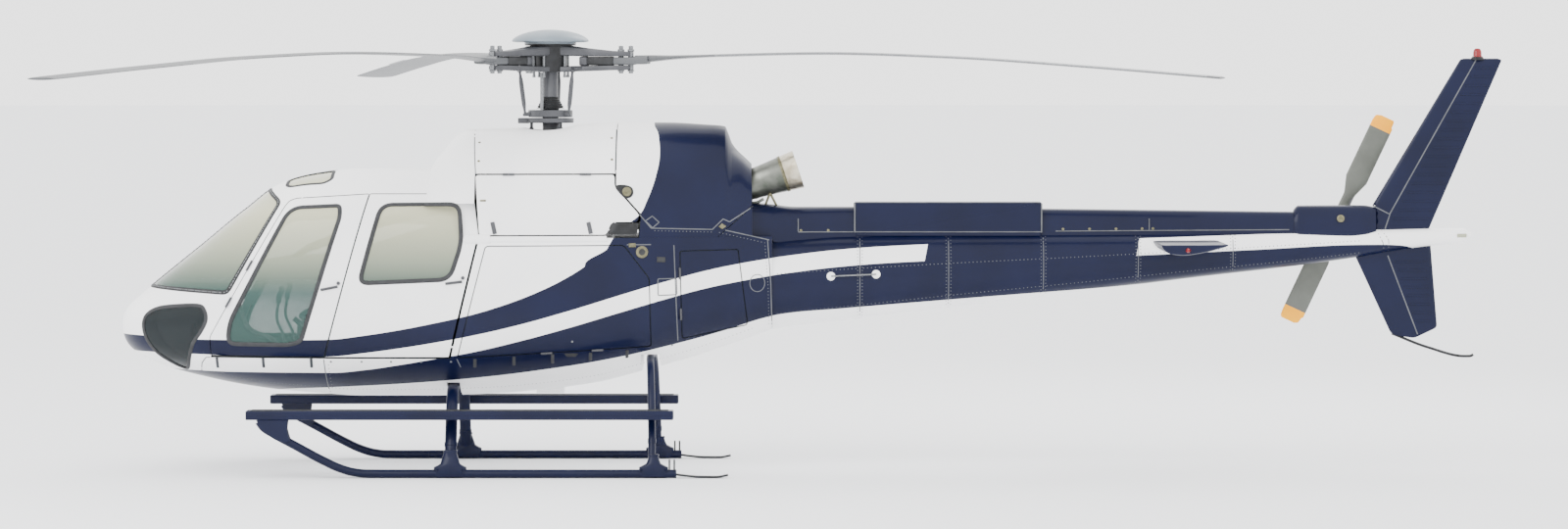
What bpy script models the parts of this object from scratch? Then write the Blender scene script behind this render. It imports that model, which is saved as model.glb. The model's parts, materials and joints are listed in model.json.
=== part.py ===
"""A single-engine light helicopter: glazed cabin, three-blade main rotor, tail rotor, high skid landing gear.

Metres, +Z up. +X runs aft from the mast axis, -Y is the port side, and z = 0 is the lower face of the
hook plate under the belly. Heights in the tables below are above the ground on which the skids stand.
"""
import math

import bmesh
import bpy
import numpy as np
from mathutils import Matrix, Vector

# Driving dimensions, in metres
HOOK_HEIGHT = 0.600          # lower face of the belly hook plate above the ground
ROTOR_RADIUS = 5.345
ROTOR_HEIGHT = 3.240         # plane of the hub above the ground
BLADE_CHORD = 0.350
BLADE_AZIMUTHS = (131.5, 11.5, -108.5)   # degrees from aft, clockwise from above
TAIL_ROTOR_RADIUS = 0.900
TAIL_ROTOR_AXIS = (6.280, 1.967)         # x and height
TAIL_ROTOR_TIPS = ((5.849, 1.174), (6.607, 2.787))
TAIL_SHAFT_END = 0.200                   # to starboard of the boom's middle
TAIL_HUB_LENGTH = 0.155
TRACK_HALF = 1.085           # skid tube from the middle plane
SKID_RADIUS = 0.033
STABILISER_HALF_SPAN = 1.265
SKIN = 0.028                 # whole thickness of a door or a wall
GLASS = 0.005
GLASS_SINK = 0.004           # glass below the outer skin
SEAT_GAP = 0.0004            # between pieces that touch
DOOR_GAP = 0.006             # round a cabin door, on each of its sides
HATCH_GAP = 0.008            # round a hatch that swings
DECK = 1.850                 # engine deck above the ground
FLOOR = 0.912                # cabin floor above the ground
NOSE_X = -3.394
HULL_END = 1.757
HULL_POWER = 2.6             # superellipse of the cabin's cross section

# The cabin's lines: x, top, bottom, half width, height of the widest line
HULL_LINES = (
    (-3.394, 1.143, 1.143, 0.000, 1.143),
    (-3.344, 1.291, 0.988, 0.215, 1.146),
    (-3.250, 1.376, 0.910, 0.360, 1.152),
    (-3.064, 1.532, 0.824, 0.515, 1.165),
    (-2.784, 1.757, 0.747, 0.660, 1.190),
    (-2.411, 2.061, 0.669, 0.775, 1.230),
    (-2.131, 2.263, 0.630, 0.835, 1.260),
    (-1.851, 2.341, 0.607, 0.877, 1.285),
    (-1.477, 2.379, 0.583, 0.910, 1.300),
    (-0.949, 2.379, 0.583, 0.925, 1.305),
    (-0.451, 2.372, 0.599, 0.915, 1.310),
    (0.016, 2.355, 0.638, 0.880, 1.322),
    (0.389, 2.325, 0.692, 0.825, 1.338),
    (0.762, 2.275, 0.789, 0.740, 1.365),
    (1.073, 2.220, 0.871, 0.630, 1.400),
    (1.384, 2.150, 0.972, 0.500, 1.440),
    (1.757, 2.050, 1.104, 0.345, 1.490),
)
HULL_RINGS = (-3.388, -3.360, -3.300, -3.20, -3.06, -2.88, -2.68, -2.45, -2.20, -1.95, -1.65, -1.25,
              -0.80, -0.35, 0.10, 0.48, 0.82, 1.15, 1.46, 1.757)
HULL_SIDES = 28

# The cowling's top line over the deck
COWL_TOP = (
    (-0.941, 2.372), (-0.918, 2.426), (-0.824, 2.543), (-0.731, 2.652), (-0.638, 2.691), (-0.544, 2.698),
    (-0.171, 2.706), (0.202, 2.729), (0.607, 2.745), (0.918, 2.745), (1.229, 2.729), (1.384, 2.714),
    (1.410, 2.660), (1.440, 2.580), (1.555, 2.455), (1.600, 2.412),
)
COWL_RINGS = (-0.941, -0.918, -0.870, -0.800, -0.731, -0.670, -0.620, -0.544, -0.15, 0.30, 0.75, 1.15,
              1.384, 1.410, 1.440, 1.555, 1.600)
COWL_SIDES = 16
COWL_SKIN = 0.018

# The boom's lines: x, top, bottom, half width
BOOM_LINES = (
    (1.758, 1.850, 1.104, 0.330), (1.851, 1.851, 1.120, 0.318), (2.317, 1.866, 1.174, 0.285),
    (3.250, 1.872, 1.291, 0.248), (4.184, 1.874, 1.400, 0.212), (5.117, 1.878, 1.516, 0.176),
    (5.894, 1.893, 1.606, 0.147), (6.376, 1.897, 1.672, 0.126), (6.967, 1.903, 1.765, 0.092),
    (7.255, 1.905, 1.792, 0.066), (7.302, 1.872, 1.830, 0.030),
)
SPINE_LINES = (
    # x, top, half width of the drive-shaft cover on the boom
    (1.600, 2.110, 0.240), (1.760, 2.095, 0.200), (1.944, 2.076, 0.165), (2.400, 2.076, 0.128),
    (3.900, 2.061, 0.108), (5.890, 2.037, 0.088),
)

# Outlines on the side of the fuselage, x and height
FRONT_DOOR = ((-2.053, 2.099), (-2.020, 2.140), (-1.964, 2.160), (-1.387, 2.196), (-1.731, 0.922),
              (-2.632, 0.926), (-2.637, 1.077))
FRONT_WINDOW = ((-1.951, 2.108), (-1.688, 2.118), (-1.601, 2.062), (-1.599, 2.024), (-1.630, 1.909),
                (-1.875, 1.117), (-1.996, 1.014), (-2.376, 1.010), (-2.494, 1.103), (-2.477, 1.189),
                (-2.040, 2.014))
REAR_DOOR = ((-1.387, 2.196), (-0.569, 2.196), (-0.523, 1.886), (-0.756, 0.920), (-1.732, 0.920))
REAR_WINDOW = ((-1.265, 2.132), (-1.317, 2.078), (-1.453, 1.569), (-1.413, 1.492), (-1.195, 1.500),
               (-0.807, 1.523), (-0.713, 1.592), (-0.646, 1.809), (-0.668, 2.055), (-0.725, 2.124))
BAGGAGE_DOOR = ((-0.474, 1.794), (0.604, 1.797), (0.803, 1.536), (0.816, 0.996), (-0.697, 0.916))
HOLD_DOOR = ((1.033, 1.748), (1.493, 1.755), (1.567, 1.176), (1.557, 1.150), (1.061, 1.054),
             (1.049, 1.071))
WINDSCREEN = ((-3.250, 1.460), (-2.491, 1.415), (-2.088, 2.129), (-2.240, 2.250), (-3.250, 2.250))
CHIN_WINDOW = ((-3.186, 1.148), (-3.161, 1.233), (-3.070, 1.289), (-2.921, 1.313), (-2.728, 1.320),
               (-2.676, 1.283), (-2.664, 1.207), (-2.704, 1.122), (-2.769, 1.028), (-2.803, 0.933),
               (-2.829, 0.833), (-2.859, 0.814), (-2.964, 0.862), (-3.077, 0.940), (-3.154, 1.040))
ROOF_WINDOW = ((-2.060, 0.100), (-1.700, 0.100), (-1.700, 0.420), (-1.760, 0.470), (-2.060, 0.400))
COWL_DOOR = ((-0.562, 2.346), (0.532, 2.346), (0.532, 2.251), (0.727, 2.031), (0.712, 1.969),
             (0.509, 1.969), (0.470, 1.871), (-0.526, 1.871))
FRONT_TUBE = ((0.0, 0.690), (0.50, 0.690), (0.66, 0.668), (0.80, 0.565), (0.90, 0.420), (1.00, 0.225),
              (TRACK_HALF, 0.075))
REAR_TUBE = ((0.0, 0.905), (0.42, 0.905), (0.58, 0.870), (0.74, 0.735), (0.88, 0.500), (1.00, 0.270),
             (TRACK_HALF, 0.075))
TUBE_DEPTH = 0.026
TUBES = (
    # name, x at the middle, x at the foot, half line as y and height, half width
    ("front_cross_tube", -0.736, -0.736, FRONT_TUBE, 0.046),
    ("rear_cross_tube", 0.800, 0.826, REAR_TUBE, 0.029),
)
BRACKET = (0.466, 0.508)     # heights of the brackets between tubes and steps
GEARBOX_HEIGHT = 0.600
PLATES = ((3.262, 3.290), (3.165, 3.193))   # heights of the star hub's upper and lower plates
HORN = (3.168, 3.190)        # heights of the arms that the pitch links hold
BLADE_STATIONS = (0.515, 0.66, 0.80, 0.90, 1.00, 1.12, 1.25, 1.8, 2.4, 3.2, 4.0, 4.7, 5.22, ROTOR_RADIUS)
TAIL_BLADE_PLANE = (0.3885, 0.420)      # middle of the tail rotor's blades and outer end of their hub
DOOR_RAIL = ((-0.636, 1.801), (-0.636, 1.888), (-0.535, 1.888), (-0.535, 1.864), (0.468, 1.864),
             (0.468, 1.801))

# Colours by eye: navy and white paint, rotor greys, black, exhaust steel, glass, seat cloth
COLOURS = {
    "white": ((0.86, 0.86, 0.86), 0.30, 0.0),
    "navy": ((0.020, 0.026, 0.075), 0.25, 0.0),
    "grey": ((0.30, 0.31, 0.33), 0.45, 0.3),
    "dark": ((0.030, 0.030, 0.032), 0.55, 0.0),
    "steel": ((0.22, 0.23, 0.21), 0.40, 0.9),
    "glass": ((0.50, 0.60, 0.56), 0.05, 0.0),
    "cloth": ((0.09, 0.10, 0.12), 0.90, 0.0),
    "red": ((0.27, 0.003, 0.006), 0.20, 0.0),
}


def up(height):
    """Height above the ground, turned into this model's z."""
    return height - HOOK_HEIGHT


def smooth(xs, ys):
    """A smooth curve through points that never overshoots them: a monotone cubic."""
    xs, ys = np.asarray(xs, float), np.asarray(ys, float)
    step = np.diff(xs)
    slope = np.diff(ys) / step
    bend = np.zeros_like(ys)
    bend[0], bend[-1] = slope[0], slope[-1]
    for i in range(1, len(xs) - 1):
        if slope[i - 1] * slope[i] > 0:
            a, b = 2 * step[i] + step[i - 1], step[i] + 2 * step[i - 1]
            bend[i] = (a + b) / (a / slope[i - 1] + b / slope[i])

    def value(x):
        """The cubic's value between two points."""
        x = min(max(x, xs[0]), xs[-1])
        i = min(max(int(np.searchsorted(xs, x)) - 1, 0), len(xs) - 2)
        t = (x - xs[i]) / step[i]
        start = (1 + 2 * t) * (1 - t) ** 2 * ys[i] + t * (1 - t) ** 2 * step[i] * bend[i]
        end = t * t * (3 - 2 * t) * ys[i + 1] + t * t * (t - 1) * step[i] * bend[i + 1]
        return float(start + end)

    return value


# The nose is blunt, so the hull's lines run smoothly over the root of the distance from its tip
root_distance = [math.sqrt(row[0] - NOSE_X) for row in HULL_LINES]
hull_top, hull_bottom, hull_half, hull_wide = (
    smooth(root_distance, [row[k] for row in HULL_LINES]) for k in (1, 2, 3, 4))
cowl_top = smooth([p[0] for p in COWL_TOP], [p[1] for p in COWL_TOP])
boom_top, boom_bottom, boom_half = (
    smooth([row[0] for row in BOOM_LINES], [row[k] for row in BOOM_LINES]) for k in (1, 2, 3))
spine_top, spine_half = (
    smooth([row[0] for row in SPINE_LINES], [row[k] for row in SPINE_LINES]) for k in (1, 2))


def along(x):
    """The root of the distance from the nose's tip, over which the hull's lines run."""
    return math.sqrt(max(x - NOSE_X, 0.0))


def hull_side(x, height):
    """Half width of the hull's skin at a place on its side."""
    s = along(x)
    middle = hull_wide(s)
    reach = hull_top(s) - middle if height > middle else middle - hull_bottom(s)
    share = abs(height - middle) / max(reach, 1e-6)
    return hull_half(s) * max(0.0, 1 - share ** HULL_POWER) ** (1 / HULL_POWER)


def round_power(angle, power):
    """A point of the unit superellipse."""
    c, s = math.cos(angle), math.sin(angle)
    return (math.copysign(abs(c) ** (2 / power), c), math.copysign(abs(s) ** (2 / power), s))


def material(colour):
    """One shared Principled material for each colour."""
    if colour in bpy.data.materials:
        return bpy.data.materials[colour]
    base, rough, metal = COLOURS[colour]
    made = bpy.data.materials.new(colour)
    made.use_nodes = True
    shader = made.node_tree.nodes["Principled BSDF"]
    shader.inputs["Base Color"].default_value = (*base, 1.0)
    shader.inputs["Roughness"].default_value = rough
    shader.inputs["Metallic"].default_value = metal
    return made


def solid(name, points, faces, colour="white"):
    """A closed mesh object whose faces point outwards."""
    mesh = bpy.data.meshes.new(name)
    work = bmesh.new()
    corners = [work.verts.new(p) for p in points]
    for face in faces:
        work.faces.new([corners[i] for i in face])
    bmesh.ops.remove_doubles(work, verts=work.verts, dist=1e-6)
    bmesh.ops.recalc_face_normals(work, faces=work.faces)
    bmesh.ops.triangulate(work, faces=work.faces)
    work.to_mesh(mesh)
    work.free()
    made = bpy.data.objects.new(name, mesh)
    made.data.materials.append(material(colour))
    bpy.context.scene.collection.objects.link(made)
    return made


def loft(name, rings, colour="white"):
    """Rings with the same number of points, joined by a skin and closed by a face at each end."""
    count = len(rings[0])
    points = [p for ring in rings for p in ring]
    faces = [list(range(count)), [len(points) - count + i for i in range(count)]]
    for r in range(len(rings) - 1):
        for i in range(count):
            j = (i + 1) % count
            faces.append([r * count + i, r * count + j, (r + 1) * count + j, (r + 1) * count + i])
    return solid(name, points, faces, colour)


def prism(name, outline, axis, low, high, colour="white"):
    """An outline pushed along an axis: along y it holds x and height, along z it holds x and y."""
    place = {"y": lambda p, d: (p[0], d, up(p[1])), "z": lambda p, d: (p[0], p[1], up(d)),
             "x": lambda p, d: (d, p[0], up(p[1]))}[axis]
    return loft(name, [[place(p, low) for p in outline], [place(p, high) for p in outline]], colour)


def block(name, x, y, height, colour="white"):
    """A box between two values of x, y and height."""
    return prism(name, ((x[0], y[0]), (x[1], y[0]), (x[1], y[1]), (x[0], y[1])), "z", *height, colour)


def turned(name, profile, centre, axis=(0, 0, 1), sides=24, colour="grey"):
    """A profile of radius and distance along the axis, turned round it."""
    frame = Vector(axis).to_track_quat("Z", "Y")
    rings = []
    for radius, distance in profile:
        ring = []
        for k in range(sides):
            angle = 2 * math.pi * k / sides
            local = Vector((radius * math.cos(angle), radius * math.sin(angle), distance))
            ring.append(Vector(centre) + frame @ local)
        rings.append(ring)
    return loft(name, rings, colour)


def rod(name, start, end, radius, sides=12, colour="grey"):
    """A round bar between two points."""
    start, end = Vector(start), Vector(end)
    return turned(name, ((radius, 0.0), (radius, (end - start).length)), start, end - start, sides, colour)


def sweep(name, path, across, depth, side=Vector((1, 0, 0)), sides=12, colour="white", swell=None):
    """An oval carried along a path: its half sizes along side and square to it, and its growth on the way."""
    path = [Vector(p) for p in path]
    rings = []
    for i, point in enumerate(path):
        grown = swell(i / (len(path) - 1)) if swell else 1.0
        heading = (path[min(i + 1, len(path) - 1)] - path[max(i - 1, 0)]).normalized()
        wide = (side - heading * side.dot(heading)).normalized()
        deep = heading.cross(wide)
        rings.append([point + wide * across * grown * math.cos(2 * math.pi * k / sides)
                      + deep * depth * grown * math.sin(2 * math.pi * k / sides) for k in range(sides)])
    return loft(name, rings, colour)


def curve_through(points, count):
    """A smooth path through points, evenly spaced along their chords."""
    points = [Vector(p) for p in points]
    length = [0.0]
    for a, b in zip(points, points[1:]):
        length.append(length[-1] + (b - a).length)
    lines = [smooth(length, [p[k] for p in points]) for k in range(3)]
    return [Vector([line(length[-1] * i / (count - 1)) for line in lines]) for i in range(count)]


def combine(target, tool, how="DIFFERENCE", solver="EXACT"):
    """Cut, join or intersect a piece with a tool, and keep the result as the piece's mesh."""
    step = target.modifiers.new("step", "BOOLEAN")
    step.operation, step.object, step.solver = how, tool, solver
    graph = bpy.context.evaluated_depsgraph_get()
    result = bpy.data.meshes.new_from_object(target.evaluated_get(graph))
    target.modifiers.clear()
    old, target.data = target.data, result
    bpy.data.meshes.remove(old)
    bpy.data.objects.remove(tool)
    return target


def tidy(piece, angle=35.0):
    """Merge points that a cut left on one spot, flatten split faces, and shade round parts smooth."""
    work = bmesh.new()
    work.from_mesh(piece.data)
    bmesh.ops.dissolve_limit(work, angle_limit=math.radians(0.6), verts=work.verts, edges=work.edges)
    bmesh.ops.triangulate(work, faces=work.faces)
    bmesh.ops.dissolve_degenerate(work, edges=work.edges, dist=1e-5)
    work.to_mesh(piece.data)
    work.free()
    piece.data.shade_smooth()
    piece.data.set_sharp_from_angle(angle=math.radians(angle))
    return piece


def shrink(outline, amount):
    """An outline with every edge moved inwards by an amount."""
    points = [Vector(p) for p in outline]
    area = sum(a.x * b.y - b.x * a.y for a, b in zip(points, points[1:] + points[:1]))
    turn = 1.0 if area > 0 else -1.0
    moved = []
    for i, point in enumerate(points):
        before = (point - points[i - 1]).normalized()
        after = (points[(i + 1) % len(points)] - point).normalized()
        n1, n2 = Vector((-before.y, before.x)) * turn, Vector((-after.y, after.x)) * turn
        bisector = (n1 + n2).normalized()
        moved.append(point + bisector * (amount / max(bisector.dot(n1), 0.3)))
    return [tuple(p) for p in moved]


def hull(name, inset=0.0, colour="white"):
    """The fuselage from the nose to the boom as one solid, drawn in by an inset."""
    rings = []
    for x in HULL_RINGS:
        s = along(x)
        top, bottom, middle = hull_top(s) - inset, hull_bottom(s) + inset, hull_wide(s)
        half = hull_half(s) - inset
        if min(half, top - middle, middle - bottom) < 0.012:
            continue
        ring = []
        for k in range(HULL_SIDES):
            c, v = round_power(2 * math.pi * (k + 0.5) / HULL_SIDES, HULL_POWER)
            reach = top - middle if v > 0 else middle - bottom
            ring.append((x, half * c, up(middle + reach * v)))
        rings.append(ring)
    if inset > 0:
        rings.append([(p[0] + 0.05, p[1], p[2]) for p in rings[-1]])
    return loft(name, rings, colour)


def cowl(name, inset=0.0, colour="white"):
    """The cowling's round top over the deck as one solid, drawn in by an inset."""
    rings = []
    for x in COWL_RINGS:
        half = hull_side(x, DECK) - inset
        rise = cowl_top(x) - inset - DECK
        angles = [math.pi * k / COWL_SIDES for k in range(COWL_SIDES + 1)]
        ring = [(x, half * math.cos(angle), up(DECK + rise * math.sin(angle))) for angle in angles]
        ring[0] = (x, half, up(DECK))
        ring[-1] = (x, -half, up(DECK))
        rings.append([(x, half, up(DECK - 0.05))] + ring + [(x, -half, up(DECK - 0.05))])
    if inset > 0:
        rings.append([(p[0] + 0.05, p[1], p[2]) for p in rings[-1]])
    return loft(name, rings, colour)


def side_prism(name, outline, side, inner=0.02, outer=1.4):
    """An outline on the port (-1) or starboard (+1) side, or right through (0)."""
    low, high = (-outer, outer) if side == 0 else sorted((side * inner, side * outer))
    return prism(name, outline, "y", low, high)


def skin_panel(name, outline, side, sink=0.0, thickness=SKIN, body=hull, colour="white"):
    """A piece of a skin inside an outline."""
    panel = body(name, sink, colour)
    combine(panel, side_prism("cut", outline, side), "INTERSECT")
    combine(panel, body("inner", sink + thickness))
    return panel


def leaf(centre, half, into, out, depth):
    """A hinge leaf: a wedge from beside the hinge's line into its panel."""
    near, far = into * 0.004, into * 0.034
    corners = (near + out * 0.005, far + out * 0.005, far - out * depth, near - out * 0.010)
    half = half * 0.88
    return loft("leaf", [[centre - half + c for c in corners], [centre + half + c for c in corners]])


def knuckles(door, frame, hinge, places, depth=0.022, beside=None, radius=0.009, length=0.045):
    """Hinge barrels on one line: half of each turns with the door, the other half stays on its frame."""
    point, axis, into = (Vector(v) for v in hinge)
    axis.normalize()
    into = (into - axis * into.dot(axis)).normalized()
    out = axis.cross(into)
    out = out if out.y * point.y > 0 else -out
    for place in places:
        if beside:
            ends = [point + axis * (place + shift * length) for shift in (-1.02, 1.02)]
            combine(beside, rod("room", *ends, radius + 0.021, 10), solver="MANIFOLD")
        for piece, other, shift, way, deep in ((door, frame, 0.5, into, depth),
                                               (frame, door, -0.5, -into, 0.028)):
            middle = point + axis * (place + shift * length)
            half = axis * (length / 2 - SEAT_GAP)
            room = axis * (length / 2)
            space = rod("room", middle - room, middle + room, radius + 0.006, 10)
            combine(other, space, solver="MANIFOLD")
            barrel = rod("barrel", middle - half, middle + half, radius, 10)
            combine(barrel, leaf(middle, half, way, out, deep), "UNION")
            combine(piece, barrel, "UNION", solver="MANIFOLD")


def remove_everything():
    """An empty scene to start from."""
    for thing in list(bpy.data.objects):
        bpy.data.objects.remove(thing)


def build_nose_and_roof():
    """Nose with its windscreens and chin windows, and the roof with its windows and door posts."""
    nose = hull("nose_shell")
    forward = ((-3.7, 0.3), (-2.632, 0.3), (-2.632, 0.93), (-2.080, 0.93), (-2.080, 2.6), (-3.7, 2.6))
    combine(nose, side_prism("cut", forward, 0), "INTERSECT")
    combine(nose, hull("inner", SKIN))
    combine(nose, side_prism("cut", FRONT_DOOR, 0))
    roof = hull("roof_shell")
    above = ((-2.0796, 1.95), (-2.0796, 2.6), (-0.575, 2.6), (-0.575, 1.95))
    combine(roof, side_prism("cut", above, 0), "INTERSECT")
    combine(roof, hull("inner", SKIN))
    combine(roof, side_prism("cut", FRONT_DOOR, 0))
    combine(roof, side_prism("cut", REAR_DOOR, 0))
    for side in (-1, 1):
        strip = ((-1.350, 2.300), (-1.410, 2.300), (-1.765, FLOOR + SEAT_GAP), (-1.705, FLOOR + SEAT_GAP))
        post = hull("post", SKIN + DOOR_GAP)
        combine(post, side_prism("cut", strip, side), "INTERSECT")
        header = hull("header", SKIN * 0.5)
        lintel = ((-1.345, 2.310), (-1.415, 2.310), (-1.405, 2.205), (-1.355, 2.205))
        combine(header, side_prism("cut", lintel, side), "INTERSECT")
        combine(post, header, "UNION")
        combine(post, hull("inner", SKIN * 2 + DOOR_GAP))
        combine(roof, post, "UNION")
    for side, word in ((-1, "left"), (1, "right")):
        combine(nose, side_prism("cut", WINDSCREEN, side, 0.028))
        combine(nose, side_prism("cut", CHIN_WINDOW, side, 0.060))
        pane = hull("windscreen_" + word, GLASS_SINK, "glass")
        combine(pane, side_prism("cut", shrink(WINDSCREEN, SEAT_GAP), side, 0.028 + SEAT_GAP), "INTERSECT")
        combine(pane, hull("inner", GLASS_SINK + GLASS))
        tidy(pane)
        chin = hull("chin_window_" + word, GLASS_SINK, "glass")
        combine(chin, side_prism("cut", shrink(CHIN_WINDOW, SEAT_GAP), side, 0.060), "INTERSECT")
        combine(chin, hull("inner", GLASS_SINK + GLASS))
        tidy(chin)
        outline = [(x, side * y) for x, y in ROOF_WINDOW]
        combine(roof, prism("cut", outline, "z", 2.0, 2.6))
        light = hull("roof_window_" + word, GLASS_SINK, "glass")
        combine(light, prism("cut", shrink(outline, SEAT_GAP), "z", 2.0, 2.6), "INTERSECT")
        combine(light, hull("inner", GLASS_SINK + GLASS))
        tidy(light)
    return nose, roof


def build_cabin_doors(nose):
    """Front doors on hinges at their forward edge, and the sliding rear doors, each with its window."""
    for side, word in ((-1, "left"), (1, "right")):
        door = skin_panel("front_door_" + word, shrink(FRONT_DOOR, DOOR_GAP), side)
        combine(door, side_prism("cut", FRONT_WINDOW, side))
        knuckles(door, nose, front_door_hinge(side), (-0.24, 0.09))
        tidy(door)
        tidy(skin_panel("front_glass_" + word, shrink(FRONT_WINDOW, SEAT_GAP), side, GLASS_SINK, GLASS,
                        colour="glass"))
        slider = skin_panel("sliding_door_" + word, shrink(REAR_DOOR, DOOR_GAP), side)
        combine(slider, side_prism("cut", REAR_WINDOW, side))
        tidy(slider)
        tidy(skin_panel("sliding_glass_" + word, shrink(REAR_WINDOW, SEAT_GAP), side, GLASS_SINK, GLASS,
                        colour="glass"))
        rail = hull("door_rail_" + word, -0.016)
        combine(rail, side_prism("cut", DOOR_RAIL, side), "INTERSECT")
        combine(rail, hull("inner", -SEAT_GAP))
        tidy(rail)


def front_door_hinge(side):
    """A point, a direction and the way into the door: a slanted line outside its forward edge's bulge."""
    low, high = Vector((-2.637, 1.077)), Vector((-2.053, 2.099))
    reach = max(hull_side(*low.lerp(high, k / 20)) for k in range(21)) + 0.003
    middle = low.lerp(high, 0.47)
    edge = (high - low).normalized()
    return (middle.x, side * reach, up(middle.y)), (edge.x, 0.0, edge.y), (edge.y, 0.0, -edge.x)


def baggage_hinge(side):
    """The line along the door's lower edge, outside its bulge."""
    low, high = Vector((-0.697, 0.916)), Vector((0.816, 0.996))
    tilt = (hull_side(*high) - hull_side(*low)) / (high.x - low.x)
    places = [low.lerp(high, k / 20) for k in range(21)]
    base = max(hull_side(*p) - tilt * p.x for p in places) + 0.003
    middle = low.lerp(high, 0.5)
    slope = (high.y - low.y) / (high.x - low.x)
    point = (middle.x, side * (base + tilt * middle.x), up(middle.y))
    return point, (1.0, side * tilt, slope), (0.0, side * 0.35, 1.0)


def hold_hinge():
    """The line at the rear hold door's forward edge, outside its bulge."""
    low, high = Vector(HOLD_DOOR[5]), Vector(HOLD_DOOR[0])
    reach = max(hull_side(*low.lerp(high, k / 20)) for k in range(21)) + 0.003
    middle = low.lerp(high, 0.5)
    edge = (high - low).normalized()
    return (middle.x, -reach, up(middle.y)), (edge.x, 0.0, edge.y), (0.92, 0.38, 0.0)


def cowl_side(x, height):
    """Half width of the cowling at a place on its side."""
    half, rise = hull_side(x, DECK), cowl_top(x) - DECK
    return half * math.sqrt(max(0.0, 1 - ((height - DECK) / rise) ** 2))


def cowl_door_hinge(side):
    """The line along the door's upper edge, outside its bulge."""
    front, rear, height = -0.55, 0.52, COWL_DOOR[0][1]
    tilt = (cowl_side(rear, height) - cowl_side(front, height)) / (rear - front)
    places = [front + (rear - front) * k / 20 for k in range(21)]
    base = max(cowl_side(x, height) - tilt * x for x in places) + 0.003
    return (0.0, side * base, up(height)), (1.0, side * tilt, 0.0), (0.0, side * 0.55, -0.84)


def clear_swing(centre, side):
    """Room for the baggage door's lower corners, which turn up and inwards about the straight hinge line."""
    room = skin_panel("room", shrink(BAGGAGE_DOOR, HATCH_GAP - 0.006), side, -0.004, SKIN + 0.010)
    corner = ((-0.80, 0.80), (0.90, 0.80), (0.90, 1.16), (-0.80, 1.16))
    combine(room, side_prism("cut", corner, side), "INTERSECT", solver="MANIFOLD")
    point, axis, into = (Vector(v) for v in baggage_hinge(side))
    for degrees in (6, 12, 19, 27, 36, 46, 57, 66, 75, 84):
        turn = Matrix.Rotation(math.radians(-side * degrees), 4, axis)
        placed = room.copy()
        placed.data = room.data.copy()
        placed.data.transform(Matrix.Translation(point) @ turn @ Matrix.Translation(-point))
        bpy.context.scene.collection.objects.link(placed)
        combine(centre, placed, solver="MANIFOLD")
    bpy.data.objects.remove(room)


def bevel_hatch(hatch):
    """The hold door's aft edge, cut square to its radius from the hinge so that it swings out."""
    point, axis = Vector(hold_hinge()[0]), Vector(hold_hinge()[1])
    top, low = Vector(HOLD_DOOR[1]), Vector(HOLD_DOOR[2])
    rings = []
    for share in (-0.15, 0.2, 0.5, 0.75, 0.9, 1.0, 1.05):
        edge = top.lerp(low, share)
        x = min(edge.x, low.x) - HATCH_GAP
        y = -hull_side(x, edge.y)
        pin = point + axis * ((up(edge.y) - point.z) / axis.z)
        along_cut = Vector((pin.y - y, x - pin.x)).normalized()
        rings.append([(x + along_cut.x * d + s, y + along_cut.y * d, up(edge.y))
                      for d, s in ((-0.02, 0.0), (0.07, 0.0), (0.07, 0.1), (-0.02, 0.1))])
    combine(hatch, loft("bevel", rings))


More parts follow.
